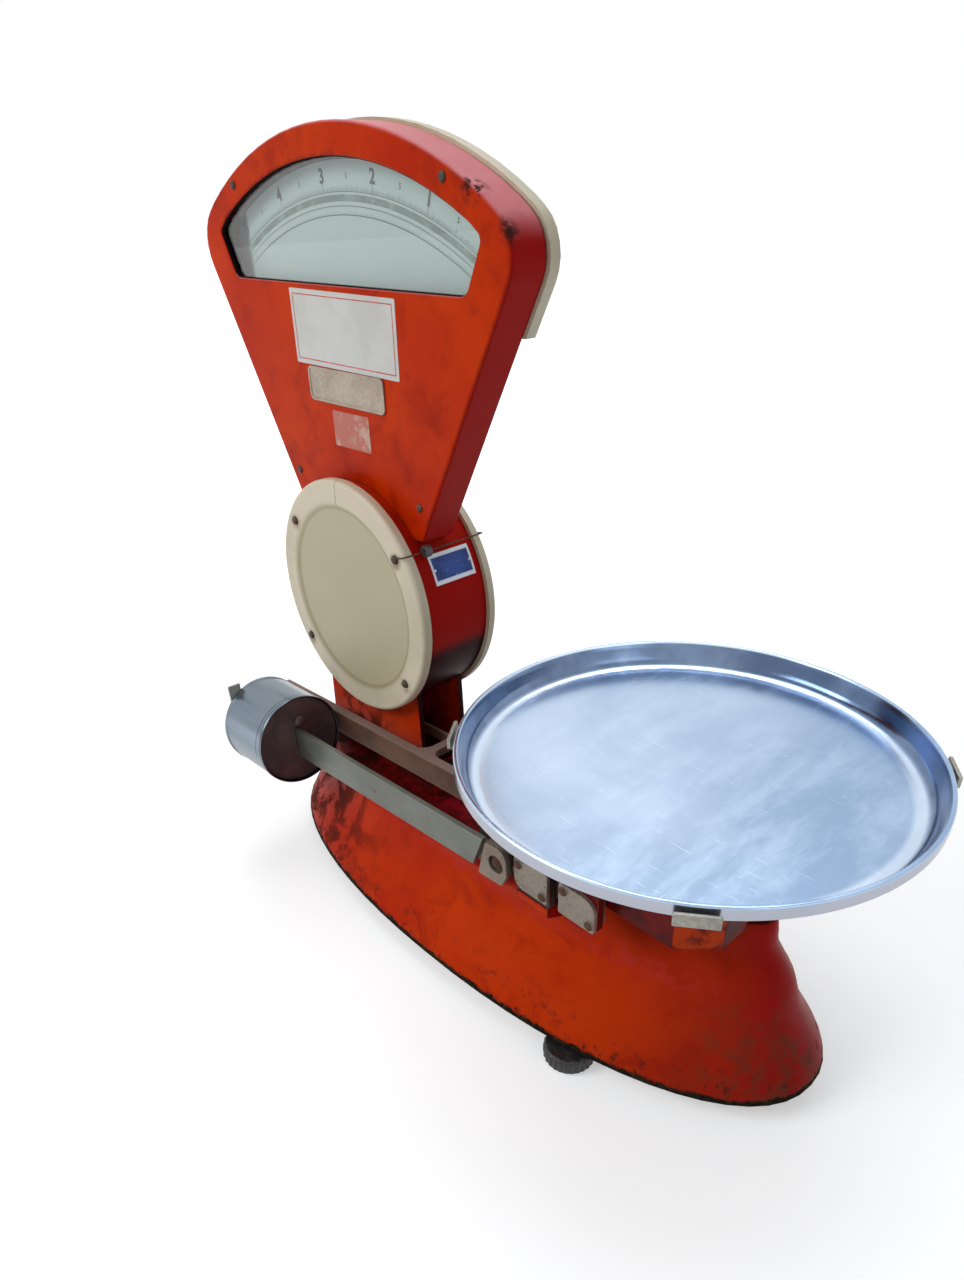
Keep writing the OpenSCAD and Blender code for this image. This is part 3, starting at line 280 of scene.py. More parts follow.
def red_paint():
    g = Graph("red_paint")
    broad = g.noise(7, 4, 0.6)
    patch = g.noise(26, 6, 0.66, distort=0.6)
    grain = g.noise(160, 4, 0.6)
    speck = g.noise(95, 5, 0.7)
    low = g.step(g.z, LOW_Z + 0.07, LOW_Z)

    # Dirt: mottling at the base's left end and a stain at its right end. The right-facing faces between the
    # neck's columns are darkened to black, with a ragged top.
    mottle = g.times(g.step(patch, 0.44, 0.56), g.step(g.x, -0.04, -0.20), low, 0.9)
    stain = g.times(g.near(STAIN_PLACE, 0.03, 0.06), g.step(g.noise(60, 6, 0.7), 0.40, 0.66), 0.7)
    neck = g.times(g.step(g.z, DRUM_FOOT_Z + 0.017, DRUM_FOOT_Z), g.step(g.z, DECK_Z + 0.002, DECK_Z + 0.007),
                   g.step(g.x, -0.04, -0.06))
    ragged_z = g.plus(g.z, g.times(patch, 0.05))
    neck_black = g.times(neck, g.step(g.facing_right, 0.25, 0.55),
                     g.step(ragged_z, DRUM_FOOT_Z + 0.06, DRUM_FOOT_Z + 0.04), 0.94)

    # Wear: dark edges, chips, splashes near the ground and knocks on the head's edge
    edge = g.edges(0.0035)
    head_right = g.times(g.step(g.x, -0.10, 0.0), g.step(g.z, HEAD_FOOT_Z, HEAD_FOOT_Z + 0.05))
    chip_level = g.plus(0.47, g.times(head_right, -0.07))
    edge_chips = g.times(g.step(edge, 0.05, 0.35), g.step(g.minus(patch, chip_level), 0.0, 0.06))
    splash = g.times(g.step(g.z, LIP_Z + 0.035, LIP_Z + 0.001), g.step(speck, 0.54, 0.66), 0.75)
    knocks = []
    for turn in KNOCK_TURNS:
        x, z = AXIS_X + KNOCK_ARC_R * math.sin(turn), KNOCK_ARC_Z + KNOCK_ARC_R * math.cos(turn)
        knocks.append(g.near((x, HEAD_FRONT_Y + 0.002, z), 0.004, 0.010))
    knocked = g.times(g.most(*knocks), g.step(speck, 0.44, 0.52))
    chips = g.most(g.step(speck, 0.745, 0.77), edge_chips, splash, knocked)
    rust = g.mix(grain, (0.014, 0.006, 0.007), (0.060, 0.018, 0.012))

    # Grime on the base's bottom lip and in the joint to the head's rear cover
    ragged_lip = g.plus(g.z, g.times(g.minus(speck, 0.5), 0.014))
    bottom = g.step(ragged_lip, LIP_Z + 0.003, LIP_Z)
    seam = g.times(g.step(g.y, HEAD_REAR_Y - 0.0024, HEAD_REAR_Y - 0.0016), g.step(g.facing_back, 0.6, 0.3),
                   g.step(g.z, HEAD_FOOT_Z, HEAD_FOOT_Z + 0.01), 0.9)
    grime = g.mix(g.step(grain, 0.42, 0.62), (0.006, 0.006, 0.004), (0.024, 0.018, 0.009))

    # Painted shade: faces that look at another wall of the piece are near black.
    inside = g.attribute("inside")
    colour = g.layers(
        red_tones(g, broad, patch, speck, low),
        (mottle, (0.050, 0.008, 0.003)),
        (stain, (0.100, 0.034, 0.014)),
        (neck_black, (0.010, 0.004, 0.005)),
        (g.times(g.step(edge, 0.05, 0.6), 0.45), (0.17, 0.010, 0.008)),
        (chips, rust),
        (g.most(bottom, seam), grime),
        (inside, (0.010, 0.005, 0.005)))
    bare = g.most(chips, bottom)
    g.bump(g.minus(g.times(g.noise(420, 2, 0.5), 0.25), g.times(bare, 0.8)), 0.0006, 0.55)
    rough = g.plus(g.times(broad, 0.12), g.times(g.most(bare, mottle, inside), 0.40), 0.30)
    return g.set(base_color=colour, roughness=rough, specular_ior_level=0.05)


def carrier_paint():
    """The carrier's red: dark crimson as painted shade, with orange painted light on its front corner facets,
    and chips.
    """
    g = Graph("carrier_red_paint")
    patch = g.noise(30, 6, 0.65)
    speck = g.noise(110, 5, 0.7)
    # Painted light: facets turned right and to the front are orange; the rest stays dark crimson as painted
    # shade.
    corner = g.minus(g.facing_right, g.facing_back)
    lit_corner = g.times(g.step(corner, 1.20, 1.38), g.step(patch, 0.66, 0.50))
    chips = g.most(g.step(speck, 0.68, 0.72), g.times(g.edges(0.002), g.step(patch, 0.42, 0.56)))
    colour = g.layers(
        g.mix(g.step(patch, 0.38, 0.65), (0.150, 0.006, 0.005), (0.060, 0.004, 0.004)),
        (lit_corner, (0.46, 0.040, 0.003)),
        (chips, (0.030, 0.012, 0.008)),
        (g.attribute("inside"), (0.008, 0.004, 0.004)))
    g.bump(g.minus(g.times(g.noise(400, 2), 0.25), g.times(chips, 0.8)), 0.0006, 0.5)
    return g.set(base_color=colour, roughness=g.plus(0.36, g.times(chips, 0.4)), specular_ior_level=0.08)


COVER_SCREW_ANGLES = (37.5, 142.5, 217.5, 322.5)
COVER_SCREW_R = COVER_R - 0.0125


def ivory_enamel():
    """Yellowed ivory with rust round the drum covers' screws and a crack from the front cover's top."""
    g = Graph("ivory_enamel")
    broad = g.noise(9, 4, 0.6)
    fine = g.noise(70, 5, 0.65)
    dx, dz = g.minus(g.x, AXIS_X), g.minus(g.z, AXIS_Z)
    radius = g.distance(dx, dz)
    face = g.times(g.step(radius, COVER_R - 0.017, COVER_R - 0.026), 0.8)
    ring_line = g.times(g.step(radius, COVER_R - 0.0265, COVER_R - 0.0245),
                        g.step(radius, COVER_R - 0.0205, COVER_R - 0.0235), 0.45)
    runs = []
    for angle in map(math.radians, COVER_SCREW_ANGLES):
        for y in (COVER_FRONT_Y, COVER_REAR_Y):
            x, z = AXIS_X + COVER_SCREW_R * math.cos(angle), AXIS_Z + COVER_SCREW_R * math.sin(angle)
            runs.append(g.near((x, y, z - 0.002), 0.0035, 0.0065))
    stain = g.times(g.most(*runs), g.step(fine, 0.30, 0.62), 0.8)
    wobble = g.times(g.minus(g.noise(60, 3), 0.5), 0.006)
    crack = g.step(g.calc("ABSOLUTE", g.plus(dx, 0.004, wobble)), 0.0007, 0.0002)
    crack = g.times(crack, g.step(dz, COVER_R - 0.034, COVER_R - 0.020), g.step(g.y, 0.0, -0.01))
    specks = g.times(g.step(g.noise(210, 3, 0.7), 0.70, 0.74), 0.6)
    worn = g.times(g.edges(0.002), g.step(fine, 0.48, 0.60))
    colour = g.layers(
        g.mix(g.step(broad, 0.35, 0.65), (0.50, 0.44, 0.31), (0.61, 0.54, 0.405)),
        (face, (0.40, 0.345, 0.215)),
        (ring_line, (0.26, 0.19, 0.09)),
        (stain, (0.16, 0.075, 0.02)),
        (g.times(crack, 0.7), (0.20, 0.12, 0.05)),
        (specks, (0.22, 0.14, 0.06)),
        (g.times(worn, 0.7), (0.30, 0.22, 0.12)))
    g.bump(g.minus(g.times(fine, 0.3), g.most(crack, g.times(worn, 0.5))), 0.0005, 0.4)
    return g.set(base_color=colour, roughness=g.plus(0.32, g.times(fine, 0.2)), specular_ior_level=0.35)


RUST = (0.10, 0.035, 0.012)
DARK_RUST = tuple(0.35 * part for part in RUST)


def metal(name, light, dark, rough=0.35, metallic=1.0, rust=0.2, scale=60, brushed=None, scratches=0.3,
          rusty_spots=()):
    """Bare or dull metal with stains, rust spots and fine scratches."""
    g = Graph(name)
    broad = g.noise(scale / 5, 4, 0.6)
    spots = g.noise(scale, 6, 0.7, distort=0.4)
    fine = g.noise(scale * 5, 3, 0.6, stretch=brushed)
    tone = g.step(g.plus(g.times(broad, 0.6), g.times(fine, 0.4)), 0.34, 0.66)
    level = 0.72 - 0.25 * rust
    on_edges = g.times(g.step(spots, level - 0.10, level + 0.02), g.edges(0.001), rust)
    rusty = g.most(g.step(spots, level, level + 0.07), on_edges)
    for point in rusty_spots:
        spot = g.times(g.near(point, 0.0034, 0.0012), g.calc("ADD", 0.75, g.times(fine, 0.5), clamp=True))
        rusty = g.most(rusty, spot)
    colour = g.layers(g.mix(tone, dark, light), (rusty, g.mix(fine, RUST, DARK_RUST)))
    g.bump(g.minus(g.times(fine, scratches), g.times(rusty, 0.4)), 0.0004, 0.45)
    uneven = g.plus(g.times(g.minus(fine, 0.5), 0.18), g.times(rusty, 0.35))
    return g.set(base_color=colour, roughness=g.plus(rough, uneven),
                 metallic=g.minus(metallic, g.times(rusty, metallic * 0.9)))


KEEPER_SCREW_X, KEEPER_SCREW_Z = 0.013, -0.0085


def keeper_screws(node):
    """Where a keeper pair's screw heads are, front and rear."""
    low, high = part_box(node)
    middle_x, middle_z = (low.x + high.x) / 2, (low.z + high.z) / 2
    return [(middle_x + side * KEEPER_SCREW_X, y, middle_z + side * KEEPER_SCREW_Z)
            for side in (-1, 1) for y in (low.y, high.y)]


# Radii of the pan: its floor's edge, and its wall's foot and outer face
PAN_FLOOR_R = 0.151
PAN_WALL_FOOT_R = 0.160
PAN_WALL_R = 0.168


def spun_rings(g, radius, angle):
    """Fine rings about the pan's middle, which waver a little on their way round."""
    node = g.tree.nodes.new("ShaderNodeTexNoise")
    node.noise_dimensions = "2D"
    node.inputs["Scale"].default_value = 1.0
    node.inputs["Detail"].default_value = 4.0
    g.link(g.join(g.times(radius, 2600.0), g.times(angle, 2.0), 0.0), node.inputs["Vector"])
    return node.outputs["Fac"]


def pan_steel():
    """Scoured steel: spun rings, scratches and haze on the floor, and painted reflection: a blue tint, a
    darker right half, a brighter floor corner and a dark streaky blue wall.
    """
    g = Graph("pan_steel")
    dx = g.minus(g.x, PAN_X)
    radius = g.distance(dx, g.y)
    broad = g.noise(5, 4, 0.55, distort=0.5)
    cloud = g.noise(13, 6, 0.66, distort=0.15, stretch=(2.4, 0.8, 1.0))
    rings = spun_rings(g, radius, g.calc("ARCTAN2", g.y, dx))
    scratches = g.most(
        g.step(g.noise(55, 2, 0.5, stretch=(0.6, 16.0, 1.0)), 0.71, 0.75),
        g.step(g.noise(50, 2, 0.5, stretch=(14.0, 0.9, 1.0)), 0.72, 0.76))
    haze = g.step(cloud, 0.40, 0.66)
    specks = g.step(g.noise(150, 3, 0.75), 0.745, 0.765)
    # Painted reflection: the pan's right half is darker.
    right_half_reflection = g.step(g.plus(dx, g.times(g.y, 0.3)), -0.06, 0.13)
    # Painted highlight: the fillet between floor and wall is brighter.
    corner = g.times(g.step(radius, PAN_FLOOR_R - 0.005, PAN_FLOOR_R),
                     g.step(radius, PAN_WALL_FOOT_R, PAN_WALL_FOOT_R - 0.005))
    below_rim = g.step(g.z, PAN_RIM_Z - 0.0007, PAN_RIM_Z - 0.0018)
    wall = g.times(g.step(radius, PAN_WALL_FOOT_R - 0.0045, PAN_WALL_FOOT_R),
                   g.step(radius, PAN_WALL_R, PAN_WALL_R - 0.0008), below_rim)
    # Painted reflection: the pan's wall is dark streaky blue.
    wall_reflection_blue = g.mix(g.step(g.noise(9, 4, 0.6), 0.35, 0.68), (0.050, 0.085, 0.17), (0.20, 0.28, 0.43))
    outside = g.times(g.step(radius, PAN_WALL_R + 0.0003, PAN_WALL_R + 0.0010), below_rim)
    # Painted reflection: the floor's steel is tinted blue.
    colour = g.layers(
        g.mix(g.step(broad, 0.36, 0.64), (0.44, 0.57, 0.76), (0.58, 0.71, 0.89)),
        (g.times(right_half_reflection, 0.75), (0.25, 0.37, 0.57)),
        (g.times(haze, 0.26), (0.64, 0.76, 0.92)),
        (g.times(scratches, 0.16), (0.85, 0.91, 0.98)),
        (g.times(specks, 0.85), (0.10, 0.10, 0.12)),
        (g.times(corner, 0.6), (0.74, 0.84, 0.97)),
        (g.times(wall, 0.9), wall_reflection_blue),
        (g.times(outside, 0.8), (0.40, 0.39, 0.42)))
    g.bump(g.plus(g.times(rings, g.plus(0.06, g.times(wall, 0.25))), g.times(scratches, -0.35)), 0.0003, 0.25)
    rough = g.plus(g.times(haze, 0.07), g.times(scratches, 0.06), 0.21)
    return g.set(base_color=colour, roughness=g.minus(rough, g.times(wall, 0.06)), metallic=1.0)


def poise_chrome():
    """Chrome painted dark, with long light and dark bands of painted reflection, and three turned lines near
    its front end.
    """
    g = Graph("poise_chrome")
    # Painted reflection: light and dark bands along the poise.
    reflection_bands = g.noise(16, 3, 0.5, stretch=(0.12, 1.6, 1.6))
    fine = g.noise(300, 2, 0.6, stretch=(0.2, 1.0, 1.0))
    spots = g.noise(120, 5, 0.7)
    colour = g.mix(g.step(reflection_bands, 0.38, 0.60), (0.040, 0.058, 0.078), (0.20, 0.245, 0.29))
    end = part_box("poise_shell")[1].x
    for inset in (0.0045, 0.0075, 0.0125):
        middle = end - inset
        line = g.times(g.step(g.x, middle - 0.0010, middle - 0.0004),
                       g.step(g.x, middle + 0.0010, middle + 0.0004))
        colour = g.mix(g.times(line, 0.75), colour, (0.045, 0.055, 0.065))
    pits = g.step(spots, 0.69, 0.73)
    colour = g.mix(g.times(pits, 0.8), colour, (0.12, 0.08, 0.05))
    g.bump(g.minus(g.times(fine, 0.2), g.times(pits, 0.5)), 0.0003, 0.3)
    return g.set(base_color=colour, roughness=g.plus(0.17, g.times(reflection_bands, 0.12)), metallic=1.0)


def poise_iron():
    g = Graph("poise_iron")
    broad = g.noise(28, 5, 0.65)
    fine = g.noise(230, 5, 0.7)
    rust = g.step(g.noise(60, 6, 0.7), 0.55, 0.68)
    colour = g.layers(
        g.mix(g.step(broad, 0.35, 0.68), (0.050, 0.030, 0.032), (0.105, 0.062, 0.058)),
        (g.times(rust, 0.6), (0.075, 0.020, 0.012)))
    g.bump(fine, 0.0006, 0.5)
    return g.set(base_color=colour, roughness=g.plus(0.42, g.times(fine, 0.25)), metallic=0.35)


def beam_paint():
    """Old coated casting: flange tops paler where they face up, worn lips, brown web."""
    g = Graph("beam_paint")
    broad = g.noise(18, 5, 0.65)
    fine = g.noise(140, 5, 0.7)
    # The flanges' upward faces are paler.
    pale_tops = g.step(g.plus(g.facing_up, g.times(g.minus(broad, 0.5), 0.8)), 0.55, 0.85)
    worn_lips = g.times(g.step(g.edges(0.003), 0.1, 0.8), 0.55)
    colour = g.layers(
        g.mix(g.step(broad, 0.35, 0.65), (0.060, 0.022, 0.011), (0.130, 0.052, 0.026)),
        (g.most(g.times(pale_tops, 0.85), worn_lips), (0.225, 0.145, 0.118)),
        (g.times(g.step(fine, 0.58, 0.70), 0.6), (0.050, 0.022, 0.014)))
    g.bump(fine, 0.0006, 0.45)
    return g.set(base_color=colour, roughness=g.plus(0.50, g.times(fine, 0.25)))


def black_wheel():
    g = Graph("black_wheel")
    dust = g.times(g.step(g.noise(90, 5, 0.7), 0.50, 0.70), g.step(g.facing_up, -0.2, 0.8))
    colour = g.mix(g.times(dust, 0.55), (0.010, 0.010, 0.011), (0.060, 0.048, 0.042))
    g.bump(g.noise(500, 3), 0.0004, 0.4)
    return g.set(base_color=colour, roughness=g.plus(0.42, g.times(dust, 0.3)))


def dial_enamel():
    """The dials' pale green, with painted shade where a dark gap shows at the window's left end."""
    g = Graph("dial_enamel")
    broad = g.noise(8, 4, 0.6)
    stains = g.step(g.noise(55, 5, 0.7), 0.66, 0.78)
    # Painted shade: the dial's left end is darkened to near black.
    gap_shade = g.step(g.x, dial_low.x + 0.020, dial_low.x + 0.012)
    colour = g.layers(
        g.mix(broad, (0.41, 0.48, 0.465), (0.50, 0.565, 0.545)),
        (g.times(stains, 0.30), (0.42, 0.40, 0.30)),
        (g.times(gap_shade, 0.92), (0.020, 0.016, 0.015)))
    g.bump(g.noise(300, 2), 0.0002, 0.15)
    return g.set(base_color=colour, roughness=g.plus(0.30, g.times(broad, 0.1)))


def ink(name, colour, rough=0.5):
    """Print that has gone paler in places."""
    g = Graph(name)
    fade = g.noise(120, 4, 0.7)
    pale = tuple(min(1.0, part * 1.7 + 0.03) for part in colour)
    g.bump(fade, 0.0001, 0.2)
    return g.set(base_color=g.mix(g.step(fade, 0.45, 0.75), colour, pale), roughness=rough)


def sticker_paper(name, paper, dirt, fade):
    """Dirty paper. Where it has worn off, as far as fade says, the red below shows through."""
    g = Graph(name)
    broad = g.noise(24, 5, 0.65)
    fine = g.noise(160, 5, 0.7)
    level = 0.55 - 0.12 * fade
    gone = g.times(g.step(g.plus(g.times(fine, 0.5), g.times(broad, 0.5)), level, level + 0.07), fade)
    colour = g.layers(
        paper,
        (g.times(g.step(broad, 0.42, 0.66), 0.5), dirt),
        (gone, (0.42, 0.05, 0.02)))
    g.bump(g.minus(fine, gone), 0.0002, 0.3)
    return g.set(base_color=colour, roughness=0.38)


def verification_foil():
    """A blank blue plate with a bare metal border."""
    g = Graph("verification_foil")
    fine = g.noise(220, 4, 0.7)
    low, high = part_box("verification_plate")
    wear = g.times(g.step(fine, 0.62, 0.72), 0.5)
    border = g.most(
        g.step(g.z, low.z + 0.0040, low.z + 0.0032), g.step(g.z, high.z - 0.0032, high.z - 0.0024),
        g.step(g.y, low.y + 0.0024, low.y + 0.0017), g.step(g.y, high.y - 0.0024, high.y - 0.0017))
    blue = g.mix(g.step(g.noise(60, 3), 0.3, 0.7), (0.004, 0.020, 0.13), (0.010, 0.050, 0.24))
    bare = g.mix(fine, (0.52, 0.55, 0.62), (0.72, 0.74, 0.80))
    g.bump(fine, 0.0002, 0.2)
    return g.set(base_color=g.mix(g.most(border, wear), blue, bare),
                 roughness=g.plus(0.34, g.times(fine, 0.2)), metallic=0.25)


def window_glass():
    """Clear glass that lets the lamps' light through to the dial."""
    g = Graph("window_glass")
    smear = g.step(g.noise(14, 5, 0.6, distort=1.0), 0.5, 0.8)
    g.set(base_color=(0.93, 0.97, 0.96), roughness=g.plus(0.01, g.times(smear, 0.06)),
          transmission_weight=1.0, ior=1.46, specular_ior_level=0.2)
    g.bump(g.noise(6, 2), 0.0002, 0.2)
    rays = g.tree.nodes.new("ShaderNodeLightPath")
    clear = g.tree.nodes.new("ShaderNodeBsdfTransparent")
    clear.inputs["Color"].default_value = (0.90, 0.94, 0.93, 1)
    mixer = g.tree.nodes.new("ShaderNodeMixShader")
    g.link(g.most(rays.outputs["Is Shadow Ray"], rays.outputs["Is Diffuse Ray"]), mixer.inputs["Fac"])
    g.link(g.shader.outputs[0], mixer.inputs[1])
    g.link(clear.outputs[0], mixer.inputs[2])
    g.link(mixer.outputs[0], g.output.inputs["Surface"])
    return g.material


RED = red_paint()
CARRIER_RED = carrier_paint()
IVORY = ivory_enamel()
GLASS = window_glass()
DIAL = dial_enamel()
PAN = pan_steel()
CHROME = poise_chrome()
IRON = poise_iron()
BEAM = beam_paint()
BLACK = black_wheel()
FOIL = verification_foil()
SCREW = metal("screw_steel", (0.075, 0.055, 0.042), (0.022, 0.016, 0.012), 0.5, 0.6, 0.8, scale=200)
DARK = metal("dark_steel", (0.055, 0.048, 0.044), (0.018, 0.015, 0.013), 0.5, 0.5, 0.6, scale=50)
BRACKET = metal("bracket_steel", (0.25, 0.195, 0.150), (0.130, 0.098, 0.075), 0.45, 0.55, 0.30, scale=90)
KEEPER = metal("keeper_steel", (0.285, 0.245, 0.195), (0.165, 0.135, 0.108), 0.45, 0.55, 0.30, scale=90,
               rusty_spots=keeper_screws("fulcrum_keepers") + keeper_screws("load_keepers"))
BEARING = metal("bearing_steel", (0.40, 0.40, 0.40), (0.16, 0.15, 0.14), 0.35, 0.9, 0.5, scale=120)
BOLT = metal("bolt_steel", (0.060, 0.038, 0.020), (0.018, 0.012, 0.008), 0.6, 0.5, 1.0, scale=260)
BAR = metal("bar_steel", (0.200, 0.212, 0.182), (0.120, 0.126, 0.106), 0.45, 0.6, 0.38, scale=34,
            brushed=(0.25, 1, 4), scratches=0.5)
TAB = metal("tab_steel", (0.43, 0.43, 0.38), (0.24, 0.23, 0.20), 0.42, 0.6, 0.35, scale=70)
NAMEPLATE = metal("nameplate_metal", (0.37, 0.31, 0.25), (0.21, 0.165, 0.125), 0.42, 0.6, 0.25, scale=90)
LEAD = metal("seal_lead", (0.14, 0.14, 0.145), (0.05, 0.05, 0.05), 0.6, 0.6, 0.3, scale=300)
WIRE = metal("wire_steel", (0.10, 0.085, 0.07), (0.03, 0.025, 0.02), 0.5, 0.7, 0.8, scale=300)
BRIGHT = metal("inner_steel", (0.50, 0.50, 0.49), (0.26, 0.25, 0.24), 0.32, 1.0, 0.35, scale=80)
BRASS = metal("pendulum_brass", (0.62, 0.44, 0.17), (0.32, 0.21, 0.08), 0.30, 1.0, 0.2, scale=50)
RIVET = metal("rivet_metal", (0.60, 0.60, 0.60), (0.30, 0.30, 0.30), 0.35, 1.0, 0.2, scale=400)
POINTER = ink("pointer_black", (0.012, 0.012, 0.012), 0.4)
INK = ink("dial_ink", (0.020, 0.022, 0.026))
BAND = ink("dial_band", (0.15, 0.19, 0.17))
# Painted shadow: the grey outer band above the figures.
SHADOW_BAND = ink("dial_shadow_band", (0.17, 0.14, 0.14))
PAPER = sticker_paper("sticker_paper", (0.56, 0.56, 0.53), (0.44, 0.42, 0.39), 0.0)
STICKER_LINE = ink("sticker_line", (0.45, 0.045, 0.030))
FADED = sticker_paper("faded_sticker", (0.46, 0.28, 0.21), (0.30, 0.16, 0.11), 0.8)


# Pieces

def cleaned(source, merge=2e-6, flat=0.6):
    """A bmesh of a CAD node with its flat faces whole. flat is in degrees."""
    bm = bmesh.new()
    bm.from_mesh(source.data)
    bmesh.ops.remove_doubles(bm, verts=bm.verts, dist=merge)
    bmesh.ops.dissolve_limit(bm, angle_limit=math.radians(flat), verts=bm.verts, edges=bm.edges)
    return bm


def finish_piece(bm, name, material, body, nodes=(), smooth=38):
    """Makes a piece of a bmesh, rides it on its body and lets it replace CAD nodes. smooth is in degrees."""
    mesh = bpy.data.meshes.new(name)
    bm.to_mesh(mesh)
    bm.free()
    mesh.shade_smooth()
    mesh.set_sharp_from_angle(angle=math.radians(smooth))
    piece = bpy.data.objects.new(name, mesh)
    bpy.context.scene.collection.objects.link(piece)
    piece.data.materials.append(material)
    weighted = piece.modifiers.new("weighted", "WEIGHTED_NORMAL")
    weighted.keep_sharp = True
    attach(piece, body)
    if nodes:
        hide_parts(*nodes)
    return piece


def mark_inside(bm, reach=0.6):
    """Marks the faces that look at another wall of the same piece: their paint is darkened there as painted
    shade.
    """
    layer = bm.faces.layers.float.new("inside")
    bm.normal_update()
    tree = BVHTree.FromBMesh(bm)
    for face in bm.faces:
        start = face.calc_center_median() + face.normal * 0.0002
        face[layer] = 1.0 if tree.ray_cast(start, face.normal, reach)[0] else 0.0


def dress(node, material, width=0.0, segments=2, corner=40, pick=None, smooth=38, hollow=False):
    """Stands for a CAD node: the same solid with its edges rounded.

    Edges sharper than corner degrees are rounded by width. Where pick is given, it chooses among them.
    """
    source = NODES[node]
    bm = cleaned(source)
    if hollow:
        mark_inside(bm)
    if width:
        chosen = []
        for edge in bm.edges:
            sharp = len(edge.link_faces) == 2 and edge.calc_face_angle(0) > math.radians(corner)
            middle = [(edge.verts[0].co[i] + edge.verts[1].co[i]) / 2 for i in range(3)]
            if sharp and (pick is None or pick(*middle)):
                chosen.append(edge)
        bmesh.ops.bevel(bm, geom=chosen, offset=width, offset_type="OFFSET", segments=segments,
                        profile=0.5, affect="EDGES", clamp_overlap=False, material=-1)
    return finish_piece(bm, node + "_finish", material, source["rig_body"], [node], smooth)


def paint_node(node, material):
    """A CAD node that keeps its own mesh and takes a material."""
    data = NODES[node].data
    data.materials.clear()
    data.materials.append(material)


HEAD_SCREW_PLACES = [
    (AXIS_X + x * MM, AXIS_Z + z * MM) for x, z in ((-133, 320), (133, 320), (-88, 99), (88, 99))]
SCREW_HOLE_CLEAR = 0.006
FACE_NEAR = 1e-4
REAR_COVER_BACK_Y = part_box("head_rear_cover")[1].y
REAR_COVER_EDGE = 0.0012
HUMP_FOOT_Z = 0.1
NECK_EDGE_TOP_Z = 0.165
NECK_EDGE_Y = 0.015


def hump_edge(x, y, z):
    return z > HUMP_FOOT_Z


def neck_edge(x, y, z):
    """The outer edges of the neck's columns, below the drum."""
    return z < NECK_EDGE_TOP_Z and abs(y) > NECK_EDGE_Y


def rear_cover_edge(x, y, z):
    return abs(y - REAR_COVER_BACK_Y) < REAR_COVER_EDGE


def head_edge(x, y, z):
    """The outline and window edges of the head's two faces, not its screw holes or its joint to the drum."""
    on_face = abs(y - HEAD_FRONT_Y) < FACE_NEAR or abs(y - HEAD_REAR_Y) < FACE_NEAR
    off_screws = all(math.hypot(x - px, z - pz) > SCREW_HOLE_CLEAR for px, pz in HEAD_SCREW_PLACES)
    return on_face and off_screws and math.hypot(x - AXIS_X, z - AXIS_Z) > COVER_R + 0.003


dress("head_housing", RED, 0.0026, segments=4, corner=50, pick=head_edge, hollow=True)
dress("base_casting", RED, 0.0008, corner=60, pick=hump_edge, smooth=42, hollow=True)
dress("neck_column", RED, 0.0020, segments=3, corner=50, pick=neck_edge, hollow=True)
dress("drum_housing", RED, hollow=True)
dress("head_rear_cover", IVORY, 0.0024, segments=4, corner=50, pick=rear_cover_edge)
dress("front_drum_cover", IVORY)
dress("rear_drum_cover", IVORY)
dress("carrier_hub", CARRIER_RED, 0.0006, corner=60, hollow=True)
dress("load_lugs", CARRIER_RED, 0.0006)
dress("pan", PAN)
dress("pan_spider", TAB, 0.0008)
dress("poise_shell", CHROME)
dress("poise_core", IRON, 0.0006, corner=50)
dress("poise_screw", IRON)
dress("poise_tab", TAB, 0.0006)
dress("poise_bar", BAR, 0.0005)
dress("bar_bracket", BRACKET, 0.0005, corner=45)
dress("bracket_bolt", BOLT)
for arm in ("beam_front_arm", "beam_rear_arm"):
    dress(arm, BEAM, 0.0007)
dress("beam_tie", BEAM, 0.0007, corner=50)
dress("beam_yoke", BEAM, 0.0005, corner=50)
dress("beam_nose", BEAM, 0.0004, corner=50)
dress("fulcrum_pillars", DARK, 0.0005, corner=50)
for wheel in ("foot_wheel_front", "foot_wheel_rear", "foot_wheel_left"):
    dress(wheel, BLACK)
dress("nameplate", NAMEPLATE, 0.0002, corner=50)
dress("lead_seal", LEAD, 0.0008, segments=3, corner=50)

PAINTED_NODES = (
    (SCREW, ("drum_cover_screws", "head_screws", "foot_screw_front", "foot_screw_rear", "foot_screw_left")),
    (GLASS, ("window_glasses",)),
    (DIAL, ("front_dial", "rear_dial")),
    (FOIL, ("verification_plate",)),
    (KEEPER, ("fulcrum_keepers", "load_keepers")),
    (RIVET, ("plate_rivets",)),
    (BEARING, ("fulcrum_bearings", "pendulum_bearings", "fulcrum_knives", "load_knives", "load_bearings")),
    (DARK, ("bearing_bridges", "link_bracket", "beam_stop", "carrier_stem", "check_link")),
    (BRIGHT, ("dashpot_cylinder", "dashpot_piston", "pull_rod", "steel_tape", "pendulum_shaft")),
    (BRASS, ("tape_sector", "pendulum_bob")),
    (POINTER, ("pointers",)),
)
for material, nodes in PAINTED_NODES:
    for node in nodes:
        paint_node(node, material)


# Print on the dials: a band, graduations and plain figures about the drum's axis, and a grey band of painted
# shadow above the figures.
# Angles are in degrees from straight up, to the right as the dial is seen.

UNIT_ANGLE = 11.3
ZERO_ANGLE = 29.5
LAST_UNIT = 5
LAYER = 0.00012
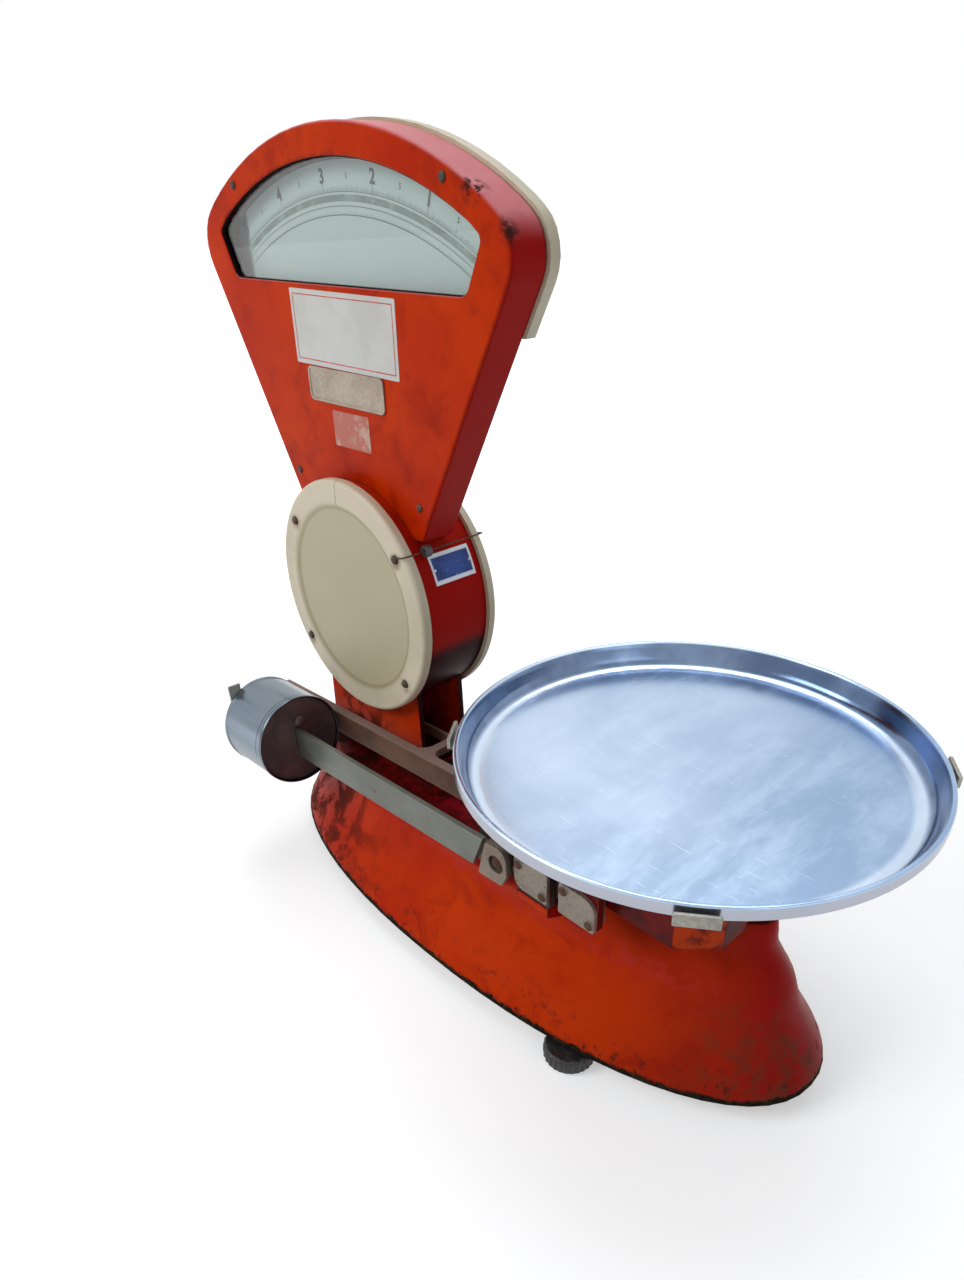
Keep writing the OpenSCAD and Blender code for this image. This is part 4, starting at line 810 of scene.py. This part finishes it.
# The outer band is painted shadow above the figures.
OUTER_BAND = (0.3335, 0.3470)
SCALE_BAND = (0.3073, 0.3117)
FIGURE_R, HALF_FIGURE_R = 0.3200, 0.3215
FINE_TICK_R, COARSE_TICK_R = 0.3136, 0.2988
OUTER_LEFT, OUTER_RIGHT = -27.6, 26.0
SCALE_LEFT, SCALE_RIGHT = -28.2, 30.2
FIGURE_REACH = 28.5
FINE_STEPS = 250
COARSE_STEPS = 100

# Each arc line: its radius, its width and its right end
ARC_LINES = ((0.3042, 0.0004, SCALE_RIGHT), (0.2985, 0.0005, SCALE_RIGHT),
             (0.3333, 0.0004, OUTER_RIGHT), (0.3133, 0.0003, SCALE_RIGHT))

# Each kind of tick: every how many steps it comes, its length and its width in degrees
FINE_TICKS = ((50, 0.0058, 0.075), (25, 0.0044, 0.05), (5, 0.0034, 0.05), (1, 0.0022, 0.028))
COARSE_TICKS = ((10, 0.003, 0.04), (1, 0.0016, 0.04))


class Dial:
    """Print laid on one dial. side is -1 for the front dial and 1 for the rear one, seen from that side."""

    def __init__(self, face_y, side, name):
        self.face_y, self.side, self.name = face_y, side, name

    def point(self, radius, angle, layer):
        a = math.radians(angle)
        return Vector((AXIS_X - self.side * radius * math.sin(a), self.face_y + self.side * layer * LAYER,
                       AXIS_Z + radius * math.cos(a)))

    def band(self, bm, r0, r1, a0, a1, layer, steps=None):
        steps = steps or max(1, round(abs(a1 - a0)))
        rows = []
        for i in range(steps + 1):
            a = a0 + (a1 - a0) * i / steps
            rows.append([bm.verts.new(self.point(r, a, layer)) for r in (r0, r1)])
        for p, q in zip(rows, rows[1:]):
            corners = [p[0], p[1], q[1], q[0]]
            bm.faces.new(corners if self.side < 0 else corners[::-1])

    def finish(self, bm, part, material):
        return finish_piece(bm, f"{self.name}_{part}", material, "stand")

    def draw(self):
        bm = bmesh.new()
        self.band(bm, *OUTER_BAND, OUTER_LEFT, OUTER_RIGHT, 1)
        self.finish(bm, "outer_band", SHADOW_BAND)
        bm = bmesh.new()
        self.band(bm, *SCALE_BAND, SCALE_LEFT, SCALE_RIGHT, 1)
        self.finish(bm, "scale_band", BAND)
        bm = bmesh.new()
        for radius, width, right in ARC_LINES:
            self.band(bm, radius, radius + width, SCALE_LEFT, right, 2)
        self.ticks(bm, FINE_STEPS, FINE_TICK_R, FINE_TICKS)
        self.ticks(bm, COARSE_STEPS, COARSE_TICK_R, COARSE_TICKS)
        self.finish(bm, "graduations", INK)
        self.figures()

    def ticks(self, bm, steps, radius, kinds):
        """A row of lines over the whole scale, the first kind that fits at each step."""
        for i in range(steps + 1):
            length, width = next(size for every, *size in kinds if i % every == 0)
            angle = ZERO_ANGLE - UNIT_ANGLE * LAST_UNIT * i / steps
            self.band(bm, radius, radius + length, angle - width / 2, angle + width / 2, 2, 1)

    def figures(self):
        """A large figure at each unit and a small 5 half way to the next, where the window shows them."""
        bm = bmesh.new()
        for value in range(LAST_UNIT + 1):
            angle = ZERO_ANGLE - UNIT_ANGLE * value
            if abs(angle) <= FIGURE_REACH:
                self.figure(bm, str(value), FIGURE_R, angle, size=0.0130, bold=0.00042)
            angle -= UNIT_ANGLE / 2
            if value < LAST_UNIT and abs(angle) <= FIGURE_REACH:
                self.figure(bm, "5", HALF_FIGURE_R, angle, size=0.0055, bold=0.0)
        self.finish(bm, "figures", INK)

    def figure(self, bm, text, radius, angle, size, bold):
        curve = bpy.data.curves.new("figure", "FONT")
        curve.body = text
        curve.size = size
        curve.offset = bold
        curve.align_x = "CENTER"
        holder = bpy.data.objects.new("figure", curve)
        bpy.context.scene.collection.objects.link(holder)
        bpy.context.view_layer.update()
        mesh = bpy.data.meshes.new_from_object(holder)
        a = math.radians(angle)
        up = Vector((-self.side * math.sin(a), 0, math.cos(a)))
        across = Vector((-self.side * math.cos(a), 0, -math.sin(a)))
        place = Matrix((across, Vector((0, self.side, 0)), up)).transposed().to_4x4()
        place.translation = self.point(radius, angle, 2)
        upright = Matrix(((1, 0, 0, 0), (0, 0, 1, 0), (0, 1, 0, 0), (0, 0, 0, 1)))
        mesh.transform(place @ upright)
        bm.from_mesh(mesh)
        bpy.data.objects.remove(holder)


Dial(DIAL_FRONT_Y, -1, "front_dial_print").draw()
Dial(DIAL_REAR_Y, 1, "rear_dial_print").draw()


# Labels on the head's front: a blank white one with a thin red line, and an old faded one

def placed(points, centre, tilt):
    """Points of an upright outline, turned by tilt degrees and moved to its centre."""
    c, s = math.cos(math.radians(tilt)), math.sin(math.radians(tilt))
    cx, cz = centre
    return [(cx + x * c - z * s, cz + x * s + z * c) for x, z in points]


def rounded_plate(name, material, centre, size, tilt, corner_r, thickness):
    """A thin sheet on the head's front."""
    bm = bmesh.new()
    w, h = size
    points = []
    for sx, sz, start in ((1, -1, -90), (1, 1, 0), (-1, 1, 90), (-1, -1, 180)):
        for i in range(6):
            a = math.radians(start + 18 * i)
            points.append((sx * (w / 2 - corner_r) + corner_r * math.cos(a),
                           sz * (h / 2 - corner_r) + corner_r * math.sin(a)))
    ring = placed(points, centre, tilt)
    front = [bm.verts.new((x, HEAD_FRONT_Y - thickness, z)) for x, z in ring]
    back = [bm.verts.new((x, HEAD_FRONT_Y, z)) for x, z in ring]
    bm.faces.new(front)
    bm.faces.new(back[::-1])
    n = len(ring)
    for i in range(n):
        bm.faces.new((front[i], back[i], back[(i + 1) % n], front[(i + 1) % n]))
    bmesh.ops.recalc_face_normals(bm, faces=bm.faces)
    finish_piece(bm, name, material, "stand")


def frame_line(name, material, centre, size, tilt, line, front, back):
    """A printed rectangle, line wide, between two depths before the head's front."""
    bm = bmesh.new()
    w, h = size
    rings = []
    for inset in (0, line):
        x, z = w / 2 - inset, h / 2 - inset
        corners = placed([(-x, -z), (x, -z), (x, z), (-x, z)], centre, tilt)
        for depth in (front, back):
            rings.append([bm.verts.new((px, HEAD_FRONT_Y - depth, pz)) for px, pz in corners])
    outer_front, outer_back, inner_front, inner_back = rings
    for i in range(4):
        j = (i + 1) % 4
        for a, b in ((outer_front, inner_front), (inner_front, inner_back),
                     (outer_back, outer_front), (inner_back, outer_back)):
            bm.faces.new((a[i], a[j], b[j], b[i]))
    bmesh.ops.recalc_face_normals(bm, faces=bm.faces)
    finish_piece(bm, name, material, "stand")


LABEL_CENTRE = (AXIS_X + 3.1 * MM, AXIS_Z + 220.5 * MM)
LABEL_W, LABEL_H = 141 * MM, 56 * MM
LABEL_TILT = -0.4
LINE_INSET = 0.0035
LINE_SIZE = (LABEL_W - 2 * LINE_INSET, LABEL_H - 2 * LINE_INSET)
FADED_CENTRE = (AXIS_X + 2.5 * MM, AXIS_Z + 145.7 * MM)
FADED_SIZE = (51 * MM, 28.5 * MM)
FADED_TILT = 0.6

rounded_plate("white_label", PAPER, LABEL_CENTRE, (LABEL_W, LABEL_H), LABEL_TILT, corner_r=0.0012,
              thickness=0.00035)
frame_line("white_label_line", STICKER_LINE, LABEL_CENTRE, LINE_SIZE, LABEL_TILT, line=0.0008,
           front=0.00048, back=0.0003)
rounded_plate("faded_label", FADED, FADED_CENTRE, FADED_SIZE, FADED_TILT, corner_r=0.0015, thickness=0.0003)


# The seal's wire: two strands twisted along the CAD wire's route

WIRE_ROUTE = [
    (79, -44, 60.5), (82.5, -44.7, 61.5), (86.5, -44.6, 62.5), (89.6, -42.8, 63.3), (90.5, -38.5, 63.5),
    (90.5, -30, 63.5), (90.5, -20, 63.5), (90.5, -8, 63.5), (90.5, 5, 63.5), (90.5, 18, 63.5),
    (90.5, 30, 63.5), (90.5, 38.5, 63.5), (89.6, 42.8, 63.3), (86.5, 44.6, 62.5), (82.5, 44.7, 61.5),
    (79, 44, 60.5)]
DRUM_MIDDLE_Y = (COVER_FRONT_Y + COVER_REAR_Y) / 2
STRAND_R = 0.00042
STRAND_OFFSET = 0.00040
TWIST_PITCH = 0.0045


def catmull(points, steps):
    """A smooth path through points, in so many steps from each to the next."""
    out = []
    for i in range(len(points) - 1):
        p0, p1, p2, p3 = (points[max(0, min(len(points) - 1, i + k))] for k in (-1, 0, 1, 2))
        for j in range(steps):
            t = j / steps
            out.append(0.5 * (2 * p1 + (p2 - p0) * t + (2 * p0 - 5 * p1 + 4 * p2 - p3) * t * t
                              + (3 * p1 - p0 - 3 * p2 + p3) * t ** 3))
    return out + [points[-1]]


def heading(path, i):
    """Direction of a path at its point i."""
    return (path[min(i + 1, len(path) - 1)] - path[max(i - 1, 0)]).normalized()


def tube(bm, path, radius, sides):
    turns = [2 * math.pi * k / sides for k in range(sides)]
    rings = []
    normal = None
    for i, p in enumerate(path):
        d = heading(path, i)
        normal = (normal or Vector((0.3, 0.2, 1))).cross(d).cross(d).normalized() * -1
        other = d.cross(normal)
        rings.append([bm.verts.new(p + radius * (normal * math.cos(a) + other * math.sin(a))) for a in turns])
    for a, b in zip(rings, rings[1:]):
        for k in range(sides):
            bm.faces.new((a[k], a[(k + 1) % sides], b[(k + 1) % sides], b[k]))
    bm.faces.new(rings[0][::-1])
    bm.faces.new(rings[-1])
    bmesh.ops.recalc_face_normals(bm, faces=bm.faces)


def twisted_wire():
    route = [Vector((AXIS_X + x * MM, DRUM_MIDDLE_Y + y * MM, AXIS_Z + z * MM)) for x, y, z in WIRE_ROUTE]
    middle = catmull(route, 10)
    bm = bmesh.new()
    length = 0.0
    paths = ([], [])
    for i, p in enumerate(middle):
        d = heading(middle, i)
        length += (p - middle[i - 1]).length if i else 0
        u = d.cross(Vector((1, 0.2, 1))).normalized()
        v = d.cross(u)
        for k, path in enumerate(paths):
            a = length / TWIST_PITCH * 2 * math.pi + k * math.pi
            path.append(p + STRAND_OFFSET * (u * math.cos(a) + v * math.sin(a)))
    for path in paths:
        tube(bm, path, STRAND_R, 7)
    finish_piece(bm, "seal_wire_strands", WIRE, "stand", ["seal_wire"])


twisted_wire()


# Stage: a pale floor, a plain world and soft lamps

class Stage:
    """Node trees of the floor and the world, which share how rays that see the backdrop are told apart."""

    def __init__(self, owner, output):
        owner.use_nodes = True
        self.nodes, self.links = owner.node_tree.nodes, owner.node_tree.links
        self.nodes.clear()
        self.output = self.nodes.new(output)

    def add(self, kind, **values):
        node = self.nodes.new(kind)
        for key, value in values.items():
            node.inputs[key.replace("_", " ").title()].default_value = value
        return node

    def seeing(self):
        """1 for camera, glossy and transmission rays."""
        rays = self.nodes.new("ShaderNodeLightPath")
        result = rays.outputs["Is Camera Ray"]
        for kind in ("Is Glossy Ray", "Is Transmission Ray"):
            either = self.nodes.new("ShaderNodeMath")
            either.operation = "MAXIMUM"
            self.links.new(result, either.inputs[0])
            self.links.new(rays.outputs[kind], either.inputs[1])
            result = either.outputs[0]
        return result

    def show(self, lit, seen):
        """Sends lit to the output, and seen in its place for rays that see the backdrop."""
        mixer = self.nodes.new("ShaderNodeMixShader")
        self.links.new(self.seeing(), mixer.inputs["Fac"])
        self.links.new(lit.outputs[0], mixer.inputs[1])
        self.links.new(seen.outputs[0], mixer.inputs[2])
        self.links.new(mixer.outputs[0], self.output.inputs["Surface"])


FLOOR_SIZE = 24
FLOOR_GREY = (0.78, 0.78, 0.78, 1)
GLOW_NEAR, GLOW_FAR = 0.5, 2.2
GLOW_UNDER = 0.42
WORLD_TINT = (0.94, 0.97, 1.0, 1)
WORLD_LIGHT = 0.37


def floor_stage():
    """A pale floor that fades into the white backdrop and keeps the scale's shadow."""
    bpy.ops.mesh.primitive_plane_add(size=FLOOR_SIZE, location=(0, 0, 0))
    floor = bpy.context.object
    floor.name = "floor"
    material = bpy.data.materials.new("pale_floor")
    tree = Stage(material, "ShaderNodeOutputMaterial")
    diffuse = tree.add("ShaderNodeBsdfDiffuse", color=FLOOR_GREY)
    place = tree.add("ShaderNodeTexCoord")
    away = tree.add("ShaderNodeVectorMath")
    away.operation = "LENGTH"
    grow = tree.add(
        "ShaderNodeMapRange", from_min=GLOW_NEAR, from_max=GLOW_FAR, to_min=GLOW_UNDER, to_max=1.0)
    glow = tree.add("ShaderNodeEmission")
    both = tree.add("ShaderNodeAddShader")
    tree.links.new(place.outputs["Object"], away.inputs[0])
    tree.links.new(away.outputs["Value"], grow.inputs["Value"])
    tree.links.new(grow.outputs["Result"], glow.inputs["Strength"])
    tree.links.new(diffuse.outputs[0], both.inputs[0])
    tree.links.new(glow.outputs[0], both.inputs[1])
    tree.show(diffuse, both)
    floor.data.materials.append(material)


def studio_world():
    """Soft light for the scale, and a white backdrop for the rays that see it."""
    world = bpy.data.worlds.new("studio")
    bpy.context.scene.world = world
    tree = Stage(world, "ShaderNodeOutputWorld")
    soft = tree.add("ShaderNodeBackground", color=WORLD_TINT, strength=WORLD_LIGHT)
    white = tree.add("ShaderNodeBackground", color=(1, 1, 1, 1), strength=1.0)
    tree.show(soft, white)


def lamp(name, place, aim, size, energy, colour=(1, 1, 1)):
    """A soft rectangular lamp at place that looks at aim."""
    data = bpy.data.lights.new(name, "AREA")
    data.shape = "RECTANGLE"
    data.size, data.size_y = size
    data.energy = energy
    data.color = colour
    holder = bpy.data.objects.new(name, data)
    bpy.context.scene.collection.objects.link(holder)
    holder.location = place
    holder.rotation_mode = "QUATERNION"
    holder.rotation_quaternion = (Vector(aim) - Vector(place)).to_track_quat("-Z", "Y")


PHOTO_W, PHOTO_H = 964, 1280
SENSOR = 36


def camera():
    """The photograph's camera, fitted to the pan's rim, the drum covers, the head and the base."""
    place = Vector((482.67 * MM, -458.55 * MM, 590.78 * MM))
    azimuth, pitch, roll = math.radians(48.04), math.radians(33.86), math.radians(-1.55)
    focal_px = 874.68
    centre_x, centre_y = 486.08, 774.89
    flat = math.cos(pitch)
    back = Vector((math.sin(azimuth) * flat, -math.cos(azimuth) * flat, math.sin(pitch)))
    level = (-back).cross(Vector((0, 0, 1))).normalized()
    upright = level.cross(-back)
    right = level * math.cos(roll) + upright * math.sin(roll)
    up = -level * math.sin(roll) + upright * math.cos(roll)
    data = bpy.data.cameras.new("photo_camera")
    data.sensor_width = SENSOR
    data.lens = focal_px * SENSOR / PHOTO_H
    data.shift_x = (PHOTO_W / 2 - centre_x) / PHOTO_H
    data.shift_y = (centre_y - PHOTO_H / 2) / PHOTO_H
    data.clip_start, data.clip_end = 0.01, 50
    holder = bpy.data.objects.new("photo_camera", data)
    bpy.context.scene.collection.objects.link(holder)
    holder.matrix_world = Matrix((right, up, back)).transposed().to_4x4()
    holder.location = place
    bpy.context.scene.camera = holder


floor_stage()
studio_world()
lamp("key", place=(-1.3, -2.3, 2.0), aim=(-0.1, 0, 0.3), size=(1.6, 1.2), energy=45)
lamp("top", place=(-0.4, 0.6, 2.4), aim=(0.1, 0, 0.2), size=(1.8, 1.4), energy=24, colour=(0.92, 0.96, 1.0))
lamp("side", place=(2.4, -0.5, 1.3), aim=(0, 0, 0.3), size=(1.2, 1.2), energy=5)
camera()
bpy.context.scene.view_settings.view_transform = "Standard"
